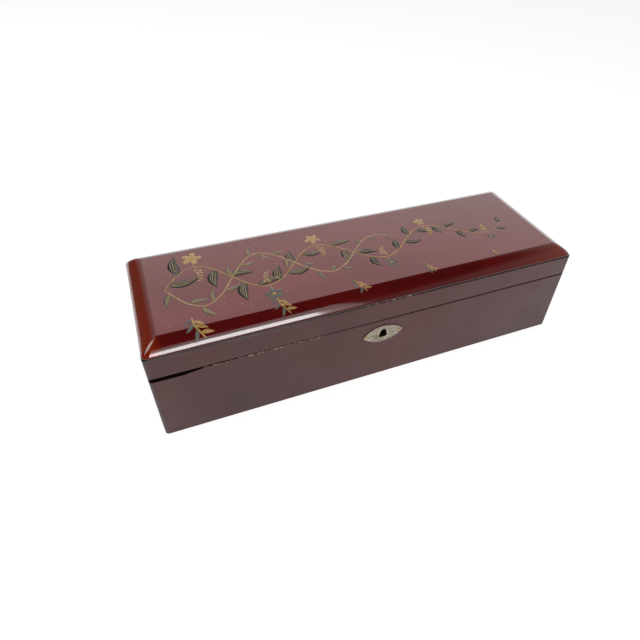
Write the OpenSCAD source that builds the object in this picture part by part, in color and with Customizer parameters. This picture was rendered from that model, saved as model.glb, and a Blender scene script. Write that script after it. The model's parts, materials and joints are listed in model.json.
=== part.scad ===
// Lacquered glove box with a wind-up musical movement.
// Origin: centre of the underside. +X runs along the length, -Y is the front, +Z is up. Millimetres.

/* [Box] */
// Length of the box
box_l = 290; // [260:1:320]
// Depth of the box, front to back
box_w = 96; // [90:1:110]
// Height of the four case walls
wall_h = 50; // [46:0.5:56]
// Thickness of the case and lid sides
wall_t = 7; // [6:0.5:8]
// Radius of the upright corners
corner_r = 2.5; // [1:0.5:4]
// Bevel worn on the rims of the case and lid
arris = 0.5; // [0.3:0.1:0.8]
// Extra wear on the rim at the front left corner
worn_drop = 2.2; // [0.5:0.1:3]

/* [Lid] */
// Gap between the case rim and the lid rim
lid_gap = 0.3; // [0.2:0.1:0.5]
// Height of the lid sides
lid_side_h = 15; // [13:0.5:18]
// Thickness of the lid panel
panel_t = 7.2; // [6:0.2:9]
// Width of the rounded bevel round the lid panel
bevel_run = 10.5; // [8:0.5:14]
// Thickness of the padded lid lining
lid_lining_t = 1.5; // [1:0.5:3]

/* [Interior] */
// Height of the underside of the bottom board, which leaves room for the key
foot_h = 12; // [11:0.5:14]
// Thickness of the bottom board
bottom_t = 3.5; // [3:0.5:5]
// Inside length of the compartment for the movement
movement_l = 60; // [58:1:66]
// Thickness of the partition
partition_t = 3; // [2:0.5:5]
// Thickness of the glass over the movement
glass_t = 2; // [1.5:0.5:3]
// Thickness of the tray floor pad
pad_t = 2.5; // [1.5:0.5:4]

/* [Hinges and lock] */
// Distance of each hinge from the middle of the box
hinge_x = 95; // [60:1:120]
// Length of a hinge
hinge_l = 26; // [20:1:34]
// How far the lid swings open, in degrees
lid_open = 100; // [90:1:104]
// Length of the keyhole plate
plate_l = 29; // [24:1:34]
// Height of the keyhole plate
plate_h = 14; // [12:0.5:16]

/* [Movement] */
// Number of notes on the comb
notes = 18; // [18]
// Radius of the pinned cylinder
cyl_r = 6.5; // [6:0.1:7]
// Length of the pinned cylinder
cyl_l = 20; // [20]
// Height of a pin above the cylinder
pin_h = 0.8; // [0.6:0.1:1]
// Turns of rotation shown in the mainspring
spring_turns = 9; // [6:1:12]

/* [Hidden] */
$fn = 48;
eps = 0.01;
half_l = box_l / 2;
half_w = box_w / 2;
in_x = half_l - wall_t;
in_y = half_w - wall_t;
floor_z = foot_h + bottom_t;
lid_z = wall_h + lid_gap;
panel_z = lid_z + lid_side_h;
part_x = -in_x + movement_l;
glass_z = 43.5;

pin_in = 2.5;
pin_y = half_w - pin_in;
pin_z = wall_h + lid_gap / 2;
relief = lid_open / 2;
knuckle_r = 1.75;
hinge_pin_r = 0.7;
leaf_t = 0.8;
flap_h = 10;
knuckles = 5;

lock_z = 39.5;
lock_case_x = 14;
lock_back_y = -in_y - leaf_t;
lock_front_y = -half_w + 2.6;
lock_wall = 0.7;
selvedge_t = 1;
bolt_y = lock_front_y + 1.85;
bolt_t = 0.9;
staple_x = 6;

// The movement stands on the bottom board. Its own origin is the middle of the bedplate's underside.
mx = -in_x + movement_l / 2;
my = -5;
mz = floor_z;
bed_x = 28.5;
bed_front = 21;
bed_back = 33;
bed_t = 2.5;
cyl_y = 3;
cyl_z = 11.3;
cyl_x0 = -0.5;
arbor_r = 0.8;
run_gap = 0.05;
spring_x = -14.5;
housing_r = 10.2;
housing_top = 20;
crown_teeth = 45;
drive_teeth = 15;
mod_drive = 0.5;
crown_r = mod_drive * crown_teeth / 2;
crown_z = cyl_z - mod_drive * drive_teeth / 2;
wind_r = 2;
wheel_teeth = 36;
pinion_teeth = 10;
mod_fine = 0.4;
train_y = cyl_y + mod_fine * (wheel_teeth + pinion_teeth) / 2 + 0.05;
worm_teeth = 20;
mod_worm = 0.5;
worm_r = 1.4;
worm_x = 25;
worm_y = train_y + mod_worm * worm_teeth / 2 + worm_r;
fly_z = 17.3;
fly_r = 4.4;
cock_z = 22.3;
lever_y = 28;
lever_z = 20.5;
lever_x = 20.1;
plunger_x = 20.6;
plunger_y = 36;
plunger_top = panel_z - lid_lining_t - 0.1;

// ---------- shared shapes ----------

module outline(r = corner_r) {
    intersection() {
        square([box_l, box_w], center = true);
        union() {
            square([box_l - 2 * r, box_w], center = true);
            square([box_l, box_w - 2 * r], center = true);
            for (x = [-1, 1], y = [-1, 1])
                translate([x * (half_l - r), y * (half_w - r)]) circle(r = r);
        }
    }
}

module box_at(p, q) {
    translate(p) cube([q[0] - p[0], q[1] - p[1], q[2] - p[2]]);
}

// A bar along X with the section given as [y, z] points.
module bar_x(x0, x1, pts) {
    translate([x0, 0, 0]) rotate([90, 0, 90]) linear_extrude(x1 - x0) polygon(pts);
}

// A bar along Y with the section given as [x, z] points.
module bar_y(y0, y1, pts) {
    translate([0, y1, 0]) rotate([90, 0, 0]) linear_extrude(y1 - y0) polygon(pts);
}

module rod_x(x0, x1, r) {
    translate([x0, 0, 0]) rotate([0, 90, 0]) cylinder(h = x1 - x0, r = r);
}

// Countersunk wood screw with its head at the origin, pointing down.
module wood_screw(head_r, shank_r, len) {
    difference() {
        union() {
            translate([0, 0, -head_r + shank_r]) cylinder(h = head_r - shank_r, r1 = shank_r, r2 = head_r);
            translate([0, 0, -len]) cylinder(h = len - head_r + shank_r + eps, r = shank_r);
        }
        translate([-head_r, -0.15, -0.3]) cube([2 * head_r, 0.3, 1]);
    }
}

// Matching countersunk hole.
module screw_hole(head_r, shank_r, len) {
    translate([0, 0, -head_r + shank_r])
        cylinder(h = head_r - shank_r + eps, r1 = shank_r, r2 = head_r + eps);
    translate([0, 0, -len]) cylinder(h = len, r = shank_r);
    cylinder(h = 2, r = head_r);
}

// Machine screw with a round slotted head sitting at z = 0, pointing down.
module pan_screw(head_r, shank_r, len) {
    difference() {
        union() {
            cylinder(h = head_r * 0.6, r = head_r);
            translate([0, 0, -len]) cylinder(h = len + eps, r = shank_r);
        }
        translate([-head_r, -0.2, head_r * 0.3]) cube([2 * head_r, 0.4, head_r]);
    }
}

// ---------- case ----------

// The rim of a wall: section across the thickness, outer face at 0, rim at the top.
function wall_section(drop) = [
    [0, 0], [wall_t, 0], [wall_t, wall_h], [arris + drop * 0.5, wall_h], [0, wall_h - arris - drop]
];

// Hinge recesses, cut in the rim and the inner face of the back wall or back rail.
module hinge_recess(side, down) {
    m = down ? 0 : 1;
    translate([side * hinge_x, 0, pin_z]) mirror([0, 0, m]) {
        translate([-hinge_l / 2 - 0.5, 0, 0]) {
            translate([0, pin_y, 0]) rotate([0, 90, 0]) cylinder(h = hinge_l + 1, r = knuckle_r + 0.3);
        }
        box_at([-hinge_l / 2, in_y - 1, -lid_gap / 2 - leaf_t], [hinge_l / 2, pin_y, 1]);
        box_at([-hinge_l / 2, in_y - 1, -lid_gap / 2 - flap_h], [hinge_l / 2, in_y + leaf_t, 0]);
    }
    for (s = [-1, 1])
        translate([side * hinge_x + s * hinge_l / 3, in_y, hinge_screw_z(down)]) rotate([90, 0, 0])
            screw_hole(1.5, 0.8, 4.5);
}
function hinge_screw_z(down) = pin_z + (down ? -1 : 1) * (lid_gap / 2 + flap_h * 0.62);

module front_wall() {
    color("firebrick") difference() {
        intersection() {
            linear_extrude(wall_h) outline();
            translate([0, -half_w, 0]) union() {
                bar_x(-half_l, half_l, wall_section(0));
            }
        }
        worn_rim();
        // lock mortise, keyhole and screw holes
        box_at([-lock_case_x, lock_front_y, lock_z - 8], [lock_case_x, -in_y + 1, wall_h + 1]);
        box_at([-lock_cover_x, lock_back_y, lock_z - 10], [lock_cover_x, -in_y + 1, wall_h + 1]);
        box_at([-lock_case_x - 4, lock_front_y, wall_h - selvedge_t],
            [lock_case_x + 4, -in_y + 1, wall_h + 1]);
        keyhole(-half_w - 1, lock_front_y + 1);
        lock_screw_places() screw_hole(1.4, 0.7, 4.5);
        escutcheon_pin_places() cylinder(h = 3, r = 0.35);
    }
}
lock_cover_x = 20;

// Wear that lowers the rim round the front left corner and fades out to the right.
module worn_rim() {
    fade = 32;
    translate([0, -half_w, 0]) bar_y(-eps, wall_t * 0.6, [
        [-half_l - 1, wall_h + 1], [-half_l - 1, wall_h - worn_drop],
            [-half_l + fade * 0.6, wall_h - worn_drop],
        [-half_l + fade, wall_h - arris], [-half_l + fade * 2.2, wall_h], [-half_l + fade * 2.2, wall_h + 1]
    ]);
}

module back_wall() {
    color("firebrick") difference() {
        intersection() {
            linear_extrude(wall_h) outline();
            bar_x(-half_l, half_l, [
                [in_y, 0], [half_w, 0], [half_w, wall_h - tan(relief) * pin_in], [pin_y, wall_h],
                    [in_y, wall_h]
            ]);
        }
        for (s = [-1, 1]) hinge_recess(s, true);
    }
}

module end_wall(side) {
    mirror([side > 0 ? 1 : 0, 0, 0]) bar_y(-in_y, in_y, [for (p = wall_section(0)) [p[0] - half_l, p[1]]]);
}

module left_wall() { color("firebrick") end_wall(-1); }

module right_wall() { color("firebrick") end_wall(1); }

module bottom_board() {
    color("saddlebrown") difference() {
        box_at([-in_x, -in_y, foot_h], [in_x, in_y, floor_z]);
        translate([mx + spring_x, my + cyl_y, 0]) cylinder(h = 40, r = 3.4);
        translate([mx, my, mz]) bed_screw_places() cylinder(h = 12, r = 0.8, center = true);
    }
}

module partition() {
    color("saddlebrown")
        box_at([part_x, -in_y, floor_z], [part_x + partition_t, in_y, glass_z + glass_t]);
}

module glass_cleats() {
    cleat = 3;
    color("saddlebrown") for (s = [-1, 1])
        box_at([-in_x, s > 0 ? in_y - cleat : -in_y, glass_z - cleat],
               [part_x, s > 0 ? in_y : -in_y + cleat, glass_z]);
}

module movement_glass() {
    color("lightblue", 0.4) difference() {
        box_at([-in_x + 0.2, -in_y + 0.2, glass_z], [part_x - 0.2, in_y - 0.2, glass_z + glass_t]);
        translate([mx + plunger_x, my + plunger_y, 0]) cylinder(h = 100, r = bush_r);
    }
}
bush_r = 2;

module tray_pad() {
    color("darkred") box_at([part_x + partition_t, -in_y, floor_z], [in_x, in_y, floor_z + pad_t]);
}

module tray_lining() {
    lining_t = 1.2;
    x0 = part_x + partition_t;
    lining_top = 44;
    color("darkred") difference() {
        box_at([x0, -in_y, floor_z + pad_t], [in_x, in_y, lining_top]);
        box_at([x0 + lining_t, -in_y + lining_t, floor_z], [in_x - lining_t, in_y - lining_t, wall_h]);
        box_at([-lock_cover_x - 1, -half_w, lock_z - 11], [lock_cover_x + 1, 0, wall_h]);
        for (s = [-1, 1]) box_at([s * hinge_x - hinge_l / 2 - 1, 0, wall_h - flap_h - 1],
                                 [s * hinge_x + hinge_l / 2 + 1, half_w, wall_h]);
    }
}

// ---------- lid ----------

// Bevel section: a small round nose at the edge, then a flatter arc that meets the flat top at a slope.
quirk = 0.6;
nose_r = 1.5;
nose_from = 85;
nose_to = 48;
arc_to = 14;
nose_run = nose_r * (sin(nose_from) - sin(nose_to));
nose_rise = nose_r * (cos(nose_to) - cos(nose_from));
arc_run = bevel_run - 0.3 - nose_run;
arc_rise = panel_t - quirk - nose_rise;
arc_steps = 8;
nose_steps = 5;
function bevel_curve(half) = concat(
    [for (i = [0 : nose_steps]) let (a = nose_from + (nose_to - nose_from) * i / nose_steps)
        [half - 0.3 - nose_r * (sin(nose_from) - sin(a)),
            panel_z + quirk + nose_r * (cos(a) - cos(nose_from))]],
    [for (i = [1 : arc_steps]) let (a = nose_to + (arc_to - nose_to) * i / arc_steps)
        [half - 0.3 - nose_run - arc_run * (sin(nose_to) - sin(a)) / (sin(nose_to) - sin(arc_to)),
         panel_z + quirk + nose_rise + arc_rise * (cos(a) - cos(nose_to)) / (cos(arc_to) - cos(nose_to))]]);
function mirrored(pts) = [for (i = [len(pts) - 1 : -1 : 0]) [-pts[i][0], pts[i][1]]];
function panel_section(half) = concat([[-half + arris, panel_z], [half - arris, panel_z]],
    bevel_curve(half), mirrored(bevel_curve(half)));

module lid_panel() {
    color("indianred") intersection() {
        translate([0, 0, panel_z]) linear_extrude(panel_t) outline(4);
        bar_x(-half_l, half_l, panel_section(half_w));
        bar_y(-half_w, half_w, panel_section(half_l));
    }
}

function rail_section() = [
    [0, lid_z + arris], [arris, lid_z], [wall_t, lid_z], [wall_t, panel_z], [arris, panel_z],
        [0, panel_z - arris]
];

module lid_front_rail() {
    color("rosybrown") difference() {
        intersection() {
            translate([0, 0, lid_z]) linear_extrude(lid_side_h) outline();
            translate([0, -half_w, 0]) bar_x(-half_l, half_l, rail_section());
        }
        box_at([-link_x, -in_y - 5.2, lid_z - 1], [link_x, -in_y + 1, lid_z + link_t]);
        link_screw_places() rotate([180, 0, 0]) screw_hole(1.2, 0.6, 5);
    }
}
link_x = 11;
link_t = 1;

module lid_back_rail() {
    color("rosybrown") difference() {
        intersection() {
            translate([0, 0, lid_z]) linear_extrude(lid_side_h) outline();
            bar_x(-half_l, half_l, [
                [in_y, lid_z], [pin_y, lid_z], [half_w, lid_z + tan(relief) * pin_in],
                [half_w, panel_z - arris], [half_w - arris, panel_z], [in_y, panel_z]
            ]);
        }
        for (s = [-1, 1]) hinge_recess(s, false);
    }
}

module lid_end_rail(side) {
    mirror([side > 0 ? 1 : 0, 0, 0]) bar_y(-in_y, in_y, [for (p = rail_section()) [p[0] - half_l, p[1]]]);
}

module lid_left_rail() { color("rosybrown") lid_end_rail(-1); }

module lid_right_rail() { color("rosybrown") lid_end_rail(1); }

module lid_lining() {
    color("darkred") box_at([-in_x, -in_y, panel_z - lid_lining_t], [in_x, in_y, panel_z]);
}

// ---------- hinges ----------

module hinge_leaf(side, down) {
    m = down ? 0 : 1;
    seg = hinge_l / knuckles;
    own = [for (i = [0 : knuckles - 1]) if ((i % 2 == 0) == down) i];
    color("goldenrod") difference() {
        translate([side * hinge_x, 0, pin_z]) mirror([0, 0, m]) difference() {
            union() {
                box_at([-hinge_l / 2, in_y + leaf_t, -lid_gap / 2 - leaf_t],
                    [hinge_l / 2, pin_y - knuckle_r - 0.4, -lid_gap / 2]);
                for (i = own) translate([-hinge_l / 2 + i * seg + 0.1, 0, 0]) {
                    translate([0, pin_y, 0]) rod_x(0, seg - 0.2, knuckle_r);
                    box_at([0, in_y + leaf_t, -lid_gap / 2 - leaf_t], [seg - 0.2, pin_y, -lid_gap / 2]);
                }
                box_at([-hinge_l / 2, in_y, -lid_gap / 2 - flap_h],
                    [hinge_l / 2, in_y + leaf_t, -lid_gap / 2]);
            }
            translate([-hinge_l, pin_y, 0]) rod_x(0, 2 * hinge_l, hinge_pin_r + run_gap);
        }
        for (s = [-1, 1]) translate([side * hinge_x + s * hinge_l / 3, in_y, hinge_screw_z(down)])
            rotate([90, 0, 0]) screw_hole(1.5, 0.8, 4.5);
    }
}

module left_hinge_case_leaf() { hinge_leaf(-1, true); }

module right_hinge_case_leaf() { hinge_leaf(1, true); }

module left_hinge_lid_leaf() { hinge_leaf(-1, false); }

module right_hinge_lid_leaf() { hinge_leaf(1, false); }

module hinge_pins() {
    color("goldenrod") for (s = [-1, 1])
        translate([s * hinge_x - hinge_l / 2, pin_y, pin_z]) rod_x(0, hinge_l, hinge_pin_r);
}

module hinge_screws(down) {
    color("goldenrod") for (side = [-1, 1], s = [-1, 1])
        translate([side * hinge_x + s * hinge_l / 3, in_y, hinge_screw_z(down)])
            rotate([90, 0, 0]) wood_screw(1.5, 0.8, 4.5);
}

module hinge_case_screws() { hinge_screws(true); }

module hinge_lid_screws() { hinge_screws(false); }

// ---------- lock ----------

keyhole_r = 2.3;
keyhole_slot = 2.2;
keyhole_drop = 4.7;

module keyhole(y0, y1) {
    translate([0, y1, lock_z + 1]) rotate([90, 0, 0]) {
        cylinder(h = y1 - y0, r = keyhole_r);
        linear_extrude(y1 - y0) polygon([[-keyhole_slot / 2, 0], [keyhole_slot / 2, 0],
            [keyhole_slot, -keyhole_drop], [-keyhole_slot, -keyhole_drop]]);
    }
}

module lock_screw_places() {
    for (x = [-1, 1], z = [-7.5, 5]) translate([x * (lock_cover_x - 2.5), -in_y, lock_z + z])
        rotate([-90, 0, 0]) children();
}

module link_screw_places() {
    for (x = [-1, 1]) translate([x * (link_x - 2), -in_y - 2.2, lid_z]) children();
}

module escutcheon_pin_places() {
    for (x = [-1, 1]) translate([x * (plate_l / 2 - 2.4), -half_w - 0.4, lock_z - 1])
        rotate([-90, 0, 0]) children();
}

// Pointed oval: the overlap of two circles.
module lens(l, h) {
    r = (l * l / 4 + h * h / 4) / h;
    intersection() {
        translate([0, -(r - h / 2)]) circle(r = r, $fn = 96);
        translate([0, r - h / 2]) circle(r = r, $fn = 96);
    }
}

module escutcheon() {
    plate_t = 0.5;
    rim_t = 0.9;
    color("silver") difference() {
        translate([0, -half_w, lock_z - 1]) rotate([90, 0, 0]) {
            linear_extrude(plate_t) lens(plate_l, plate_h);
            linear_extrude(rim_t) difference() {
                lens(plate_l, plate_h);
                lens(plate_l - 3.4, plate_h - 1.8);
            }
        }
        keyhole(-half_w - 2, -half_w + 1);
        escutcheon_pin_places() cylinder(h = 6, r = 0.35, center = true);
    }
}

module escutcheon_pins() {
    color("goldenrod") escutcheon_pin_places() {
        cylinder(h = 2.4, r = 0.35);
        translate([0, 0, -0.4]) cylinder(h = 0.3, r = 0.6);
        translate([0, 0, -0.2]) cylinder(h = 0.2 + eps, r = 0.35);
    }
}

module lock_case() {
    z0 = lock_z - 8;
    z1 = wall_h - selvedge_t;
    color("darkgoldenrod") difference() {
        union() {
            box_at([-lock_case_x, lock_front_y, z0], [lock_case_x, lock_back_y, z1 + eps]);
            box_at([-lock_case_x - 4, lock_front_y, z1], [lock_case_x + 4, lock_back_y, wall_h]);
        }
        box_at([-lock_case_x + lock_wall, lock_front_y + lock_wall, z0 + lock_wall],
               [lock_case_x - lock_wall, lock_back_y + 1, z1]);
        for (x = [-1, 1]) box_at([x * staple_x - 1.2, lock_front_y + 0.6, z1 - 1],
                                 [x * staple_x + 1.2, lock_back_y + 1, wall_h + 1]);
        keyhole(lock_front_y - 1, lock_front_y + lock_wall + 0.2);
    }
}

module lock_cover() {
    color("darkgoldenrod") difference() {
        box_at([-lock_cover_x, lock_back_y, lock_z - 10], [lock_cover_x, -in_y, wall_h]);
        lock_screw_places() screw_hole(1.4, 0.7, 4.5);
    }
}

module lock_screws() {
    color("goldenrod") lock_screw_places() wood_screw(1.4, 0.7, 4.5);
}

module lock_bolt() {
    z0 = lock_z + 1.2;
    color("silver") difference() {
        union() {
            box_at([-staple_x - 6.8, bolt_y, z0], [staple_x, bolt_y + bolt_t, z0 + 2.2]);
            for (x = [-1, 1]) {
                box_at([x * staple_x - 6.8, bolt_y, z0], [x * staple_x - 5.2, bolt_y + bolt_t, z0 + 5.8]);
                box_at([x * staple_x - 6.8, bolt_y, z0 + 4.4],
                    [x * staple_x - 0.9, bolt_y + bolt_t, z0 + 5.8]);
            }
        }
        translate([0, bolt_y + 2, z0 - 0.4]) rotate([90, 0, 0]) cylinder(h = 4, r = 1.5);
    }
}

module lock_bolt_spring() {
    z0 = lock_z - 7;
    y0 = lock_front_y + lock_wall;
    color("silver") {
        box_at([-13.2, y0, z0], [-12, y0 + 1.6, z0 + 3]);
        bar_y(y0 + 0.3, y0 + 1.3, [[-12.1, z0 + 1], [6, z0 + 0.3], [6, z0 + 0.8], [-12.1, z0 + 1.5]]);
    }
}

module link_plate() {
    staple_y0 = bolt_y - 0.7;
    staple_y1 = lock_back_y - 0.15;
    z_low = lock_z + 4.6;
    color("darkgoldenrod") difference() {
        union() {
            box_at([-link_x, -in_y - 5, lid_z], [link_x, -in_y, lid_z + link_t]);
            for (x = [-1, 1]) box_at([x * staple_x - 0.55, staple_y0, z_low],
                [x * staple_x + 0.55, staple_y1, lid_z + eps]);
        }
        for (x = [-1, 1]) box_at([x * staple_x - 2, bolt_y - 0.2, z_low + 0.7],
            [x * staple_x + 2, staple_y1 - 0.5, z_low + 3]);
        link_screw_places() rotate([180, 0, 0]) screw_hole(1.2, 0.6, 5);
    }
}

module link_plate_screws() {
    color("goldenrod") link_screw_places() rotate([180, 0, 0]) wood_screw(1.2, 0.6, 5);
}

// ---------- gear shapes ----------

pressure = 25;
function involute(a) = tan(a) * 180 / PI - a;
function polar(r, a) = [r * cos(a), r * sin(a)];

// Spur gear outline with involute flanks. The first tooth points along +X.
function gear_points(mod, teeth, play, turn = 0, addendum = 0.9) =
    let (rp = mod * teeth / 2, rb = rp * cos(pressure), ra = rp + addendum * mod, rf = rp - 1.2 * mod,
         half = 90 / teeth - play / (2 * rp) * 180 / PI,
         flank = [for (i = [0 : 3]) let (r = max(rb, rf) + (ra - max(rb, rf)) * i / 3)
             [r, half + involute(pressure) - involute(acos(min(1, rb / r)))]])
    [for (k = [0 : teeth - 1]) let (c = turn + k * 360 / teeth) each concat(
        [polar(rf, c - flank[0][1])],
        [for (i = [0 : 3]) polar(flank[i][0], c - flank[i][1])],
        [for (i = [3 : -1 : 0]) polar(flank[i][0], c + flank[i][1])],
        [polar(rf, c + flank[0][1])])];

// Gear on an axle along X, between x0 and x1. Its first tooth points up when turn is 0.
module gear_x(x0, x1, mod, teeth, play, bore, turn = 0, addendum = 0.9) {
    translate([x0, 0, 0]) rotate([90, 0, 90]) difference() {
        linear_extrude(x1 - x0) polygon(gear_points(mod, teeth, play, 90 + turn, addendum));
        if (bore > 0) translate([0, 0, -1]) cylinder(h = x1 - x0 + 2, r = bore);
    }
}

// ---------- movement ----------

module in_movement() { translate([mx, my, mz]) children(); }

module at_cylinder() { in_movement() translate([0, cyl_y, cyl_z]) children(); }

module at_spring() { in_movement() translate([spring_x, cyl_y, 0]) children(); }

module at_train() { in_movement() translate([0, train_y, cyl_z]) children(); }

module at_worm() { in_movement() translate([worm_x, worm_y, 0]) children(); }

module bed_screw_places() {
    for (p = [[-24, -18], [25, -18], [-24, 30], [15.5, 30]]) translate([p[0], p[1], 0]) children();
}

comb_x0 = cyl_x0;
comb_top = cyl_z + 0.4;
comb_t = 1;
comb_tip = cyl_y - cyl_r - pin_h - 0.08;
comb_root = comb_tip - 8;
comb_land_z = comb_top - comb_t;

module bedplate() {
    color("silver") difference() {
        in_movement() {
            box_at([-bed_x, -bed_front, 0], [bed_x, bed_back, bed_t]);
            box_at([comb_x0 - 0.6, -bed_front + 0.6, 0],
                [comb_x0 + cyl_l + 0.6, comb_root + 0.6, comb_land_z]);
        }
        in_movement() bed_screw_places() translate([0, 0, bed_t]) screw_hole(1.9, 0.85, 6);
        in_movement() comb_screw_places() translate([0, 0, -6]) cylinder(h = 8, r = 0.8);
        at_spring() cylinder(h = 10, r = wind_r + run_gap, center = true);
        housing_feet() translate([0, 0, bed_t - 2]) cylinder(h = 3, r = 0.6);
        in_movement() train_screw_places() translate([0, 0, -3]) cylinder(h = 3, r = 0.57);
    }
}

module movement_screws() {
    color("silver") in_movement() bed_screw_places() translate([0, 0, bed_t]) wood_screw(1.9, 0.8, 5);
}

foot_r = 14.9;
module housing_feet() {
    at_spring() for (a = [62, 130, 240]) rotate(a) translate([foot_r, 0, 0]) children();
}

foot_z = crown_z + 1;
module spring_housing() {
    wall = 0.7;
    top_t = 1;
    color("silver") difference() {
        union() {
            at_spring() translate([0, 0, crown_z]) cylinder(h = housing_top - crown_z, r = housing_r);
            housing_feet() {
                translate([0, 0, bed_t]) cylinder(h = foot_z + 1.2 - bed_t, r = 1.6);
                translate([-6, -1.6, foot_z]) cube([6, 3.2, 1.2]);
            }
        }
        at_spring() translate([0, 0, crown_z - 1])
            cylinder(h = housing_top - top_t - crown_z + 1, r = housing_r - wall);
        at_spring() cylinder(h = 40, r = 1.2 + run_gap);
        housing_feet() translate([0, 0, bed_t - 1]) cylinder(h = 20, r = 0.7);
    }
}

// Flat spring wound as an Archimedean spiral.
module mainspring() {
    strip = 0.25;
    r0 = 2.5;
    r1 = housing_r - 1;
    step = 20;
    n = spring_turns * 360 / step;
    pts = [for (i = [0 : n]) polar(r0 + (r1 - r0) * i / n, i * step)];
    back = [for (i = [n : -1 : 0]) polar(r0 + (r1 - r0) * i / n + strip, i * step)];
    color("steelblue") at_spring() translate([0, 0, crown_z + 1.2])
        linear_extrude(housing_top - crown_z - 2.8) polygon(concat(pts, back));
}

crown_root = crown_z - 0.55;
module great_wheel() {
    face = 1.2;
    tip = 0.42;
    play = 0.16;
    pitch = PI * mod_drive;
    slope = tan(pressure);
    w = pitch / 4 - play / 2;
    r0 = crown_r - face / 2;
    color("gold") at_spring() {
        difference() {
            translate([0, 0, crown_root - 1.5]) cylinder(h = 1.5, r = crown_r + face / 2);
            cylinder(h = 20, r = wind_r + run_gap);
            for (a = [0 : 60 : 300]) rotate(a + 30) translate([6.4, 0, 0]) cylinder(h = 20, r = 1.7);
        }
        for (i = [0 : crown_teeth - 1]) rotate((i + 0.5) * 360 / crown_teeth)
            translate([r0, 0, crown_z]) rotate([90, 0, 90]) linear_extrude(face) polygon([
                [-w - 0.56 * slope, -0.56], [w + 0.56 * slope, -0.56], [w - tip * slope, tip],
                    [-w + tip * slope, tip]]);
    }
}

ratchet_z = bed_t + 0.4;
ratchet_t = 1.2;
ratchet_r = 4.4;
ratchet_teeth = 12;
module ratchet_wheel() {
    depth = 0.8;
    color("gold") at_spring() translate([0, 0, ratchet_z]) difference() {
        linear_extrude(ratchet_t) polygon([for (i = [0 : ratchet_teeth - 1]) each [
            polar(ratchet_r, i * 360 / ratchet_teeth),
            polar(ratchet_r - depth, (i + 0.06) * 360 / ratchet_teeth)]]);
        cylinder(h = 10, r = wind_r, center = true);
    }
}

// Spring click under the great wheel, drawn lifted just clear of the ratchet teeth.
module ratchet_click() {
    z1 = crown_root - 1.5;
    color("silver") at_spring() {
        translate([7.9, 1, ratchet_z]) cylinder(h = z1 - ratchet_z, r = 0.8);
        bar = ratchet_r + 0.12;
        translate([0, 0, ratchet_z]) linear_extrude(ratchet_t - 0.2)
            polygon([[7.6, 1], [8.2, 1], [bar + 0.9, 5.4], [bar * cos(50), bar * sin(50) + 1.2],
                [bar + 0.5, 4.6]]);
    }
}

module winding_arbor() {
    color("silver") at_spring() {
        translate([0, 0, -mz + key_z1 - 3]) cylinder(h = mz - key_z1 + 3 + housing_top - 1.6, r = wind_r);
        translate([0, 0, housing_top - 2]) cylinder(h = 2.6, r = 1.2);
    }
}

key_z0 = 1.6;
key_z1 = 9.6;
module wing_key() {
    wing = 12.5;
    wing_t = 1.6;
    color("goldenrod") translate([mx + spring_x, my + cyl_y, 0]) difference() {
        union() {
            translate([0, 0, key_z0]) cylinder(h = key_z1 + 1.4 - key_z0, r = 3);
            translate([0, -wing_t / 2, (key_z0 + key_z1) / 2]) rotate([-90, 0, 0]) linear_extrude(wing_t)
                difference() {
                for (s = [-1, 1]) hull() {
                    translate([s * (wing - 4), 0]) circle(r = 4, $fn = 32);
                    square([4, 3], center = true);
                }
                for (s = [-1, 1]) translate([s * (wing - 4), 0]) circle(r = 1.7);
            }
        }
        translate([0, 0, key_z1 - 3]) cylinder(h = 10, r = wind_r);
    }
}

module cylinder_tube() {
    color("gold") at_cylinder() difference() {
        rod_x(cyl_x0, cyl_x0 + cyl_l, cyl_r);
        rod_x(cyl_x0 - 1, cyl_x0 + cyl_l + 1, cyl_r - 0.5);
    }
}

note_pitch = (cyl_l - 1) / notes;
function note_x(i) = cyl_x0 + 0.5 + (i + 0.5) * note_pitch;

// Four pins for each note, spread round the cylinder by a fixed rule.
module cylinder_pins() {
    per_note = 4;
    color("silver") at_cylinder() for (i = [0 : notes - 1], k = [0 : per_note - 1])
        translate([note_x(i), 0, 0]) rotate([(i * 47 + k * 90 + (i * k * 13) % 40) % 360, 0, 0])
            translate([0, 0, cyl_r - 0.5]) cylinder(h = pin_h + 0.5, r = 0.17, $fn = 16);
}

module cylinder_caps() {
    cap_t = 0.8;
    color("gold") at_cylinder() difference() {
        for (x = [cyl_x0, cyl_x0 + cyl_l - cap_t]) rod_x(x, x + cap_t, cyl_r - 0.5);
        rod_x(-5, 40, arbor_r);
    }
}

frame_top = bed_t + 1.2;
bearing_foot_t = 0.8;
bearing_x = [-2.3, 21.6];
bearing_t = 1.2;
module cylinder_arbor() {
    color("silver") at_cylinder() rod_x(spring_x + housing_r + 0.25, bearing_x[1] + bearing_t + 0.3, arbor_r);
}

drive_x = spring_x + crown_r - 0.6;
module drive_pinion() {
    color("gold") at_cylinder() gear_x(drive_x, drive_x + 1.2, mod_drive, drive_teeth, 0.06, arbor_r, 180);
}

wheel_x = 20;
module cylinder_wheel() {
    color("gold") at_cylinder() gear_x(wheel_x, wheel_x + 1, mod_fine, wheel_teeth, 0.1, arbor_r, 270);
}

module arbor_bearings() {
    color("silver") difference() {
        in_movement() for (i = [0, 1]) {
            box_at([bearing_x[i], cyl_y - 3.2, bed_t], [bearing_x[i] + bearing_t, cyl_y + 3.2, cyl_z + 2.6]);
            x0 = i == 0 ? bearing_x[0] : bearing_x[1] - 4.4;
            x1 = i == 0 ? bearing_x[0] + bearing_t + 3.6 : bearing_x[1] + bearing_t;
            box_at([x0, cyl_y - 3.2, bed_t], [x1, cyl_y + 3.2, bed_t + bearing_foot_t]);
        }
        at_cylinder() rod_x(-10, 40, arbor_r + run_gap);
        in_movement() train_screw_places() screw_hole(0.97, 0.57, 3);
    }
}

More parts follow.
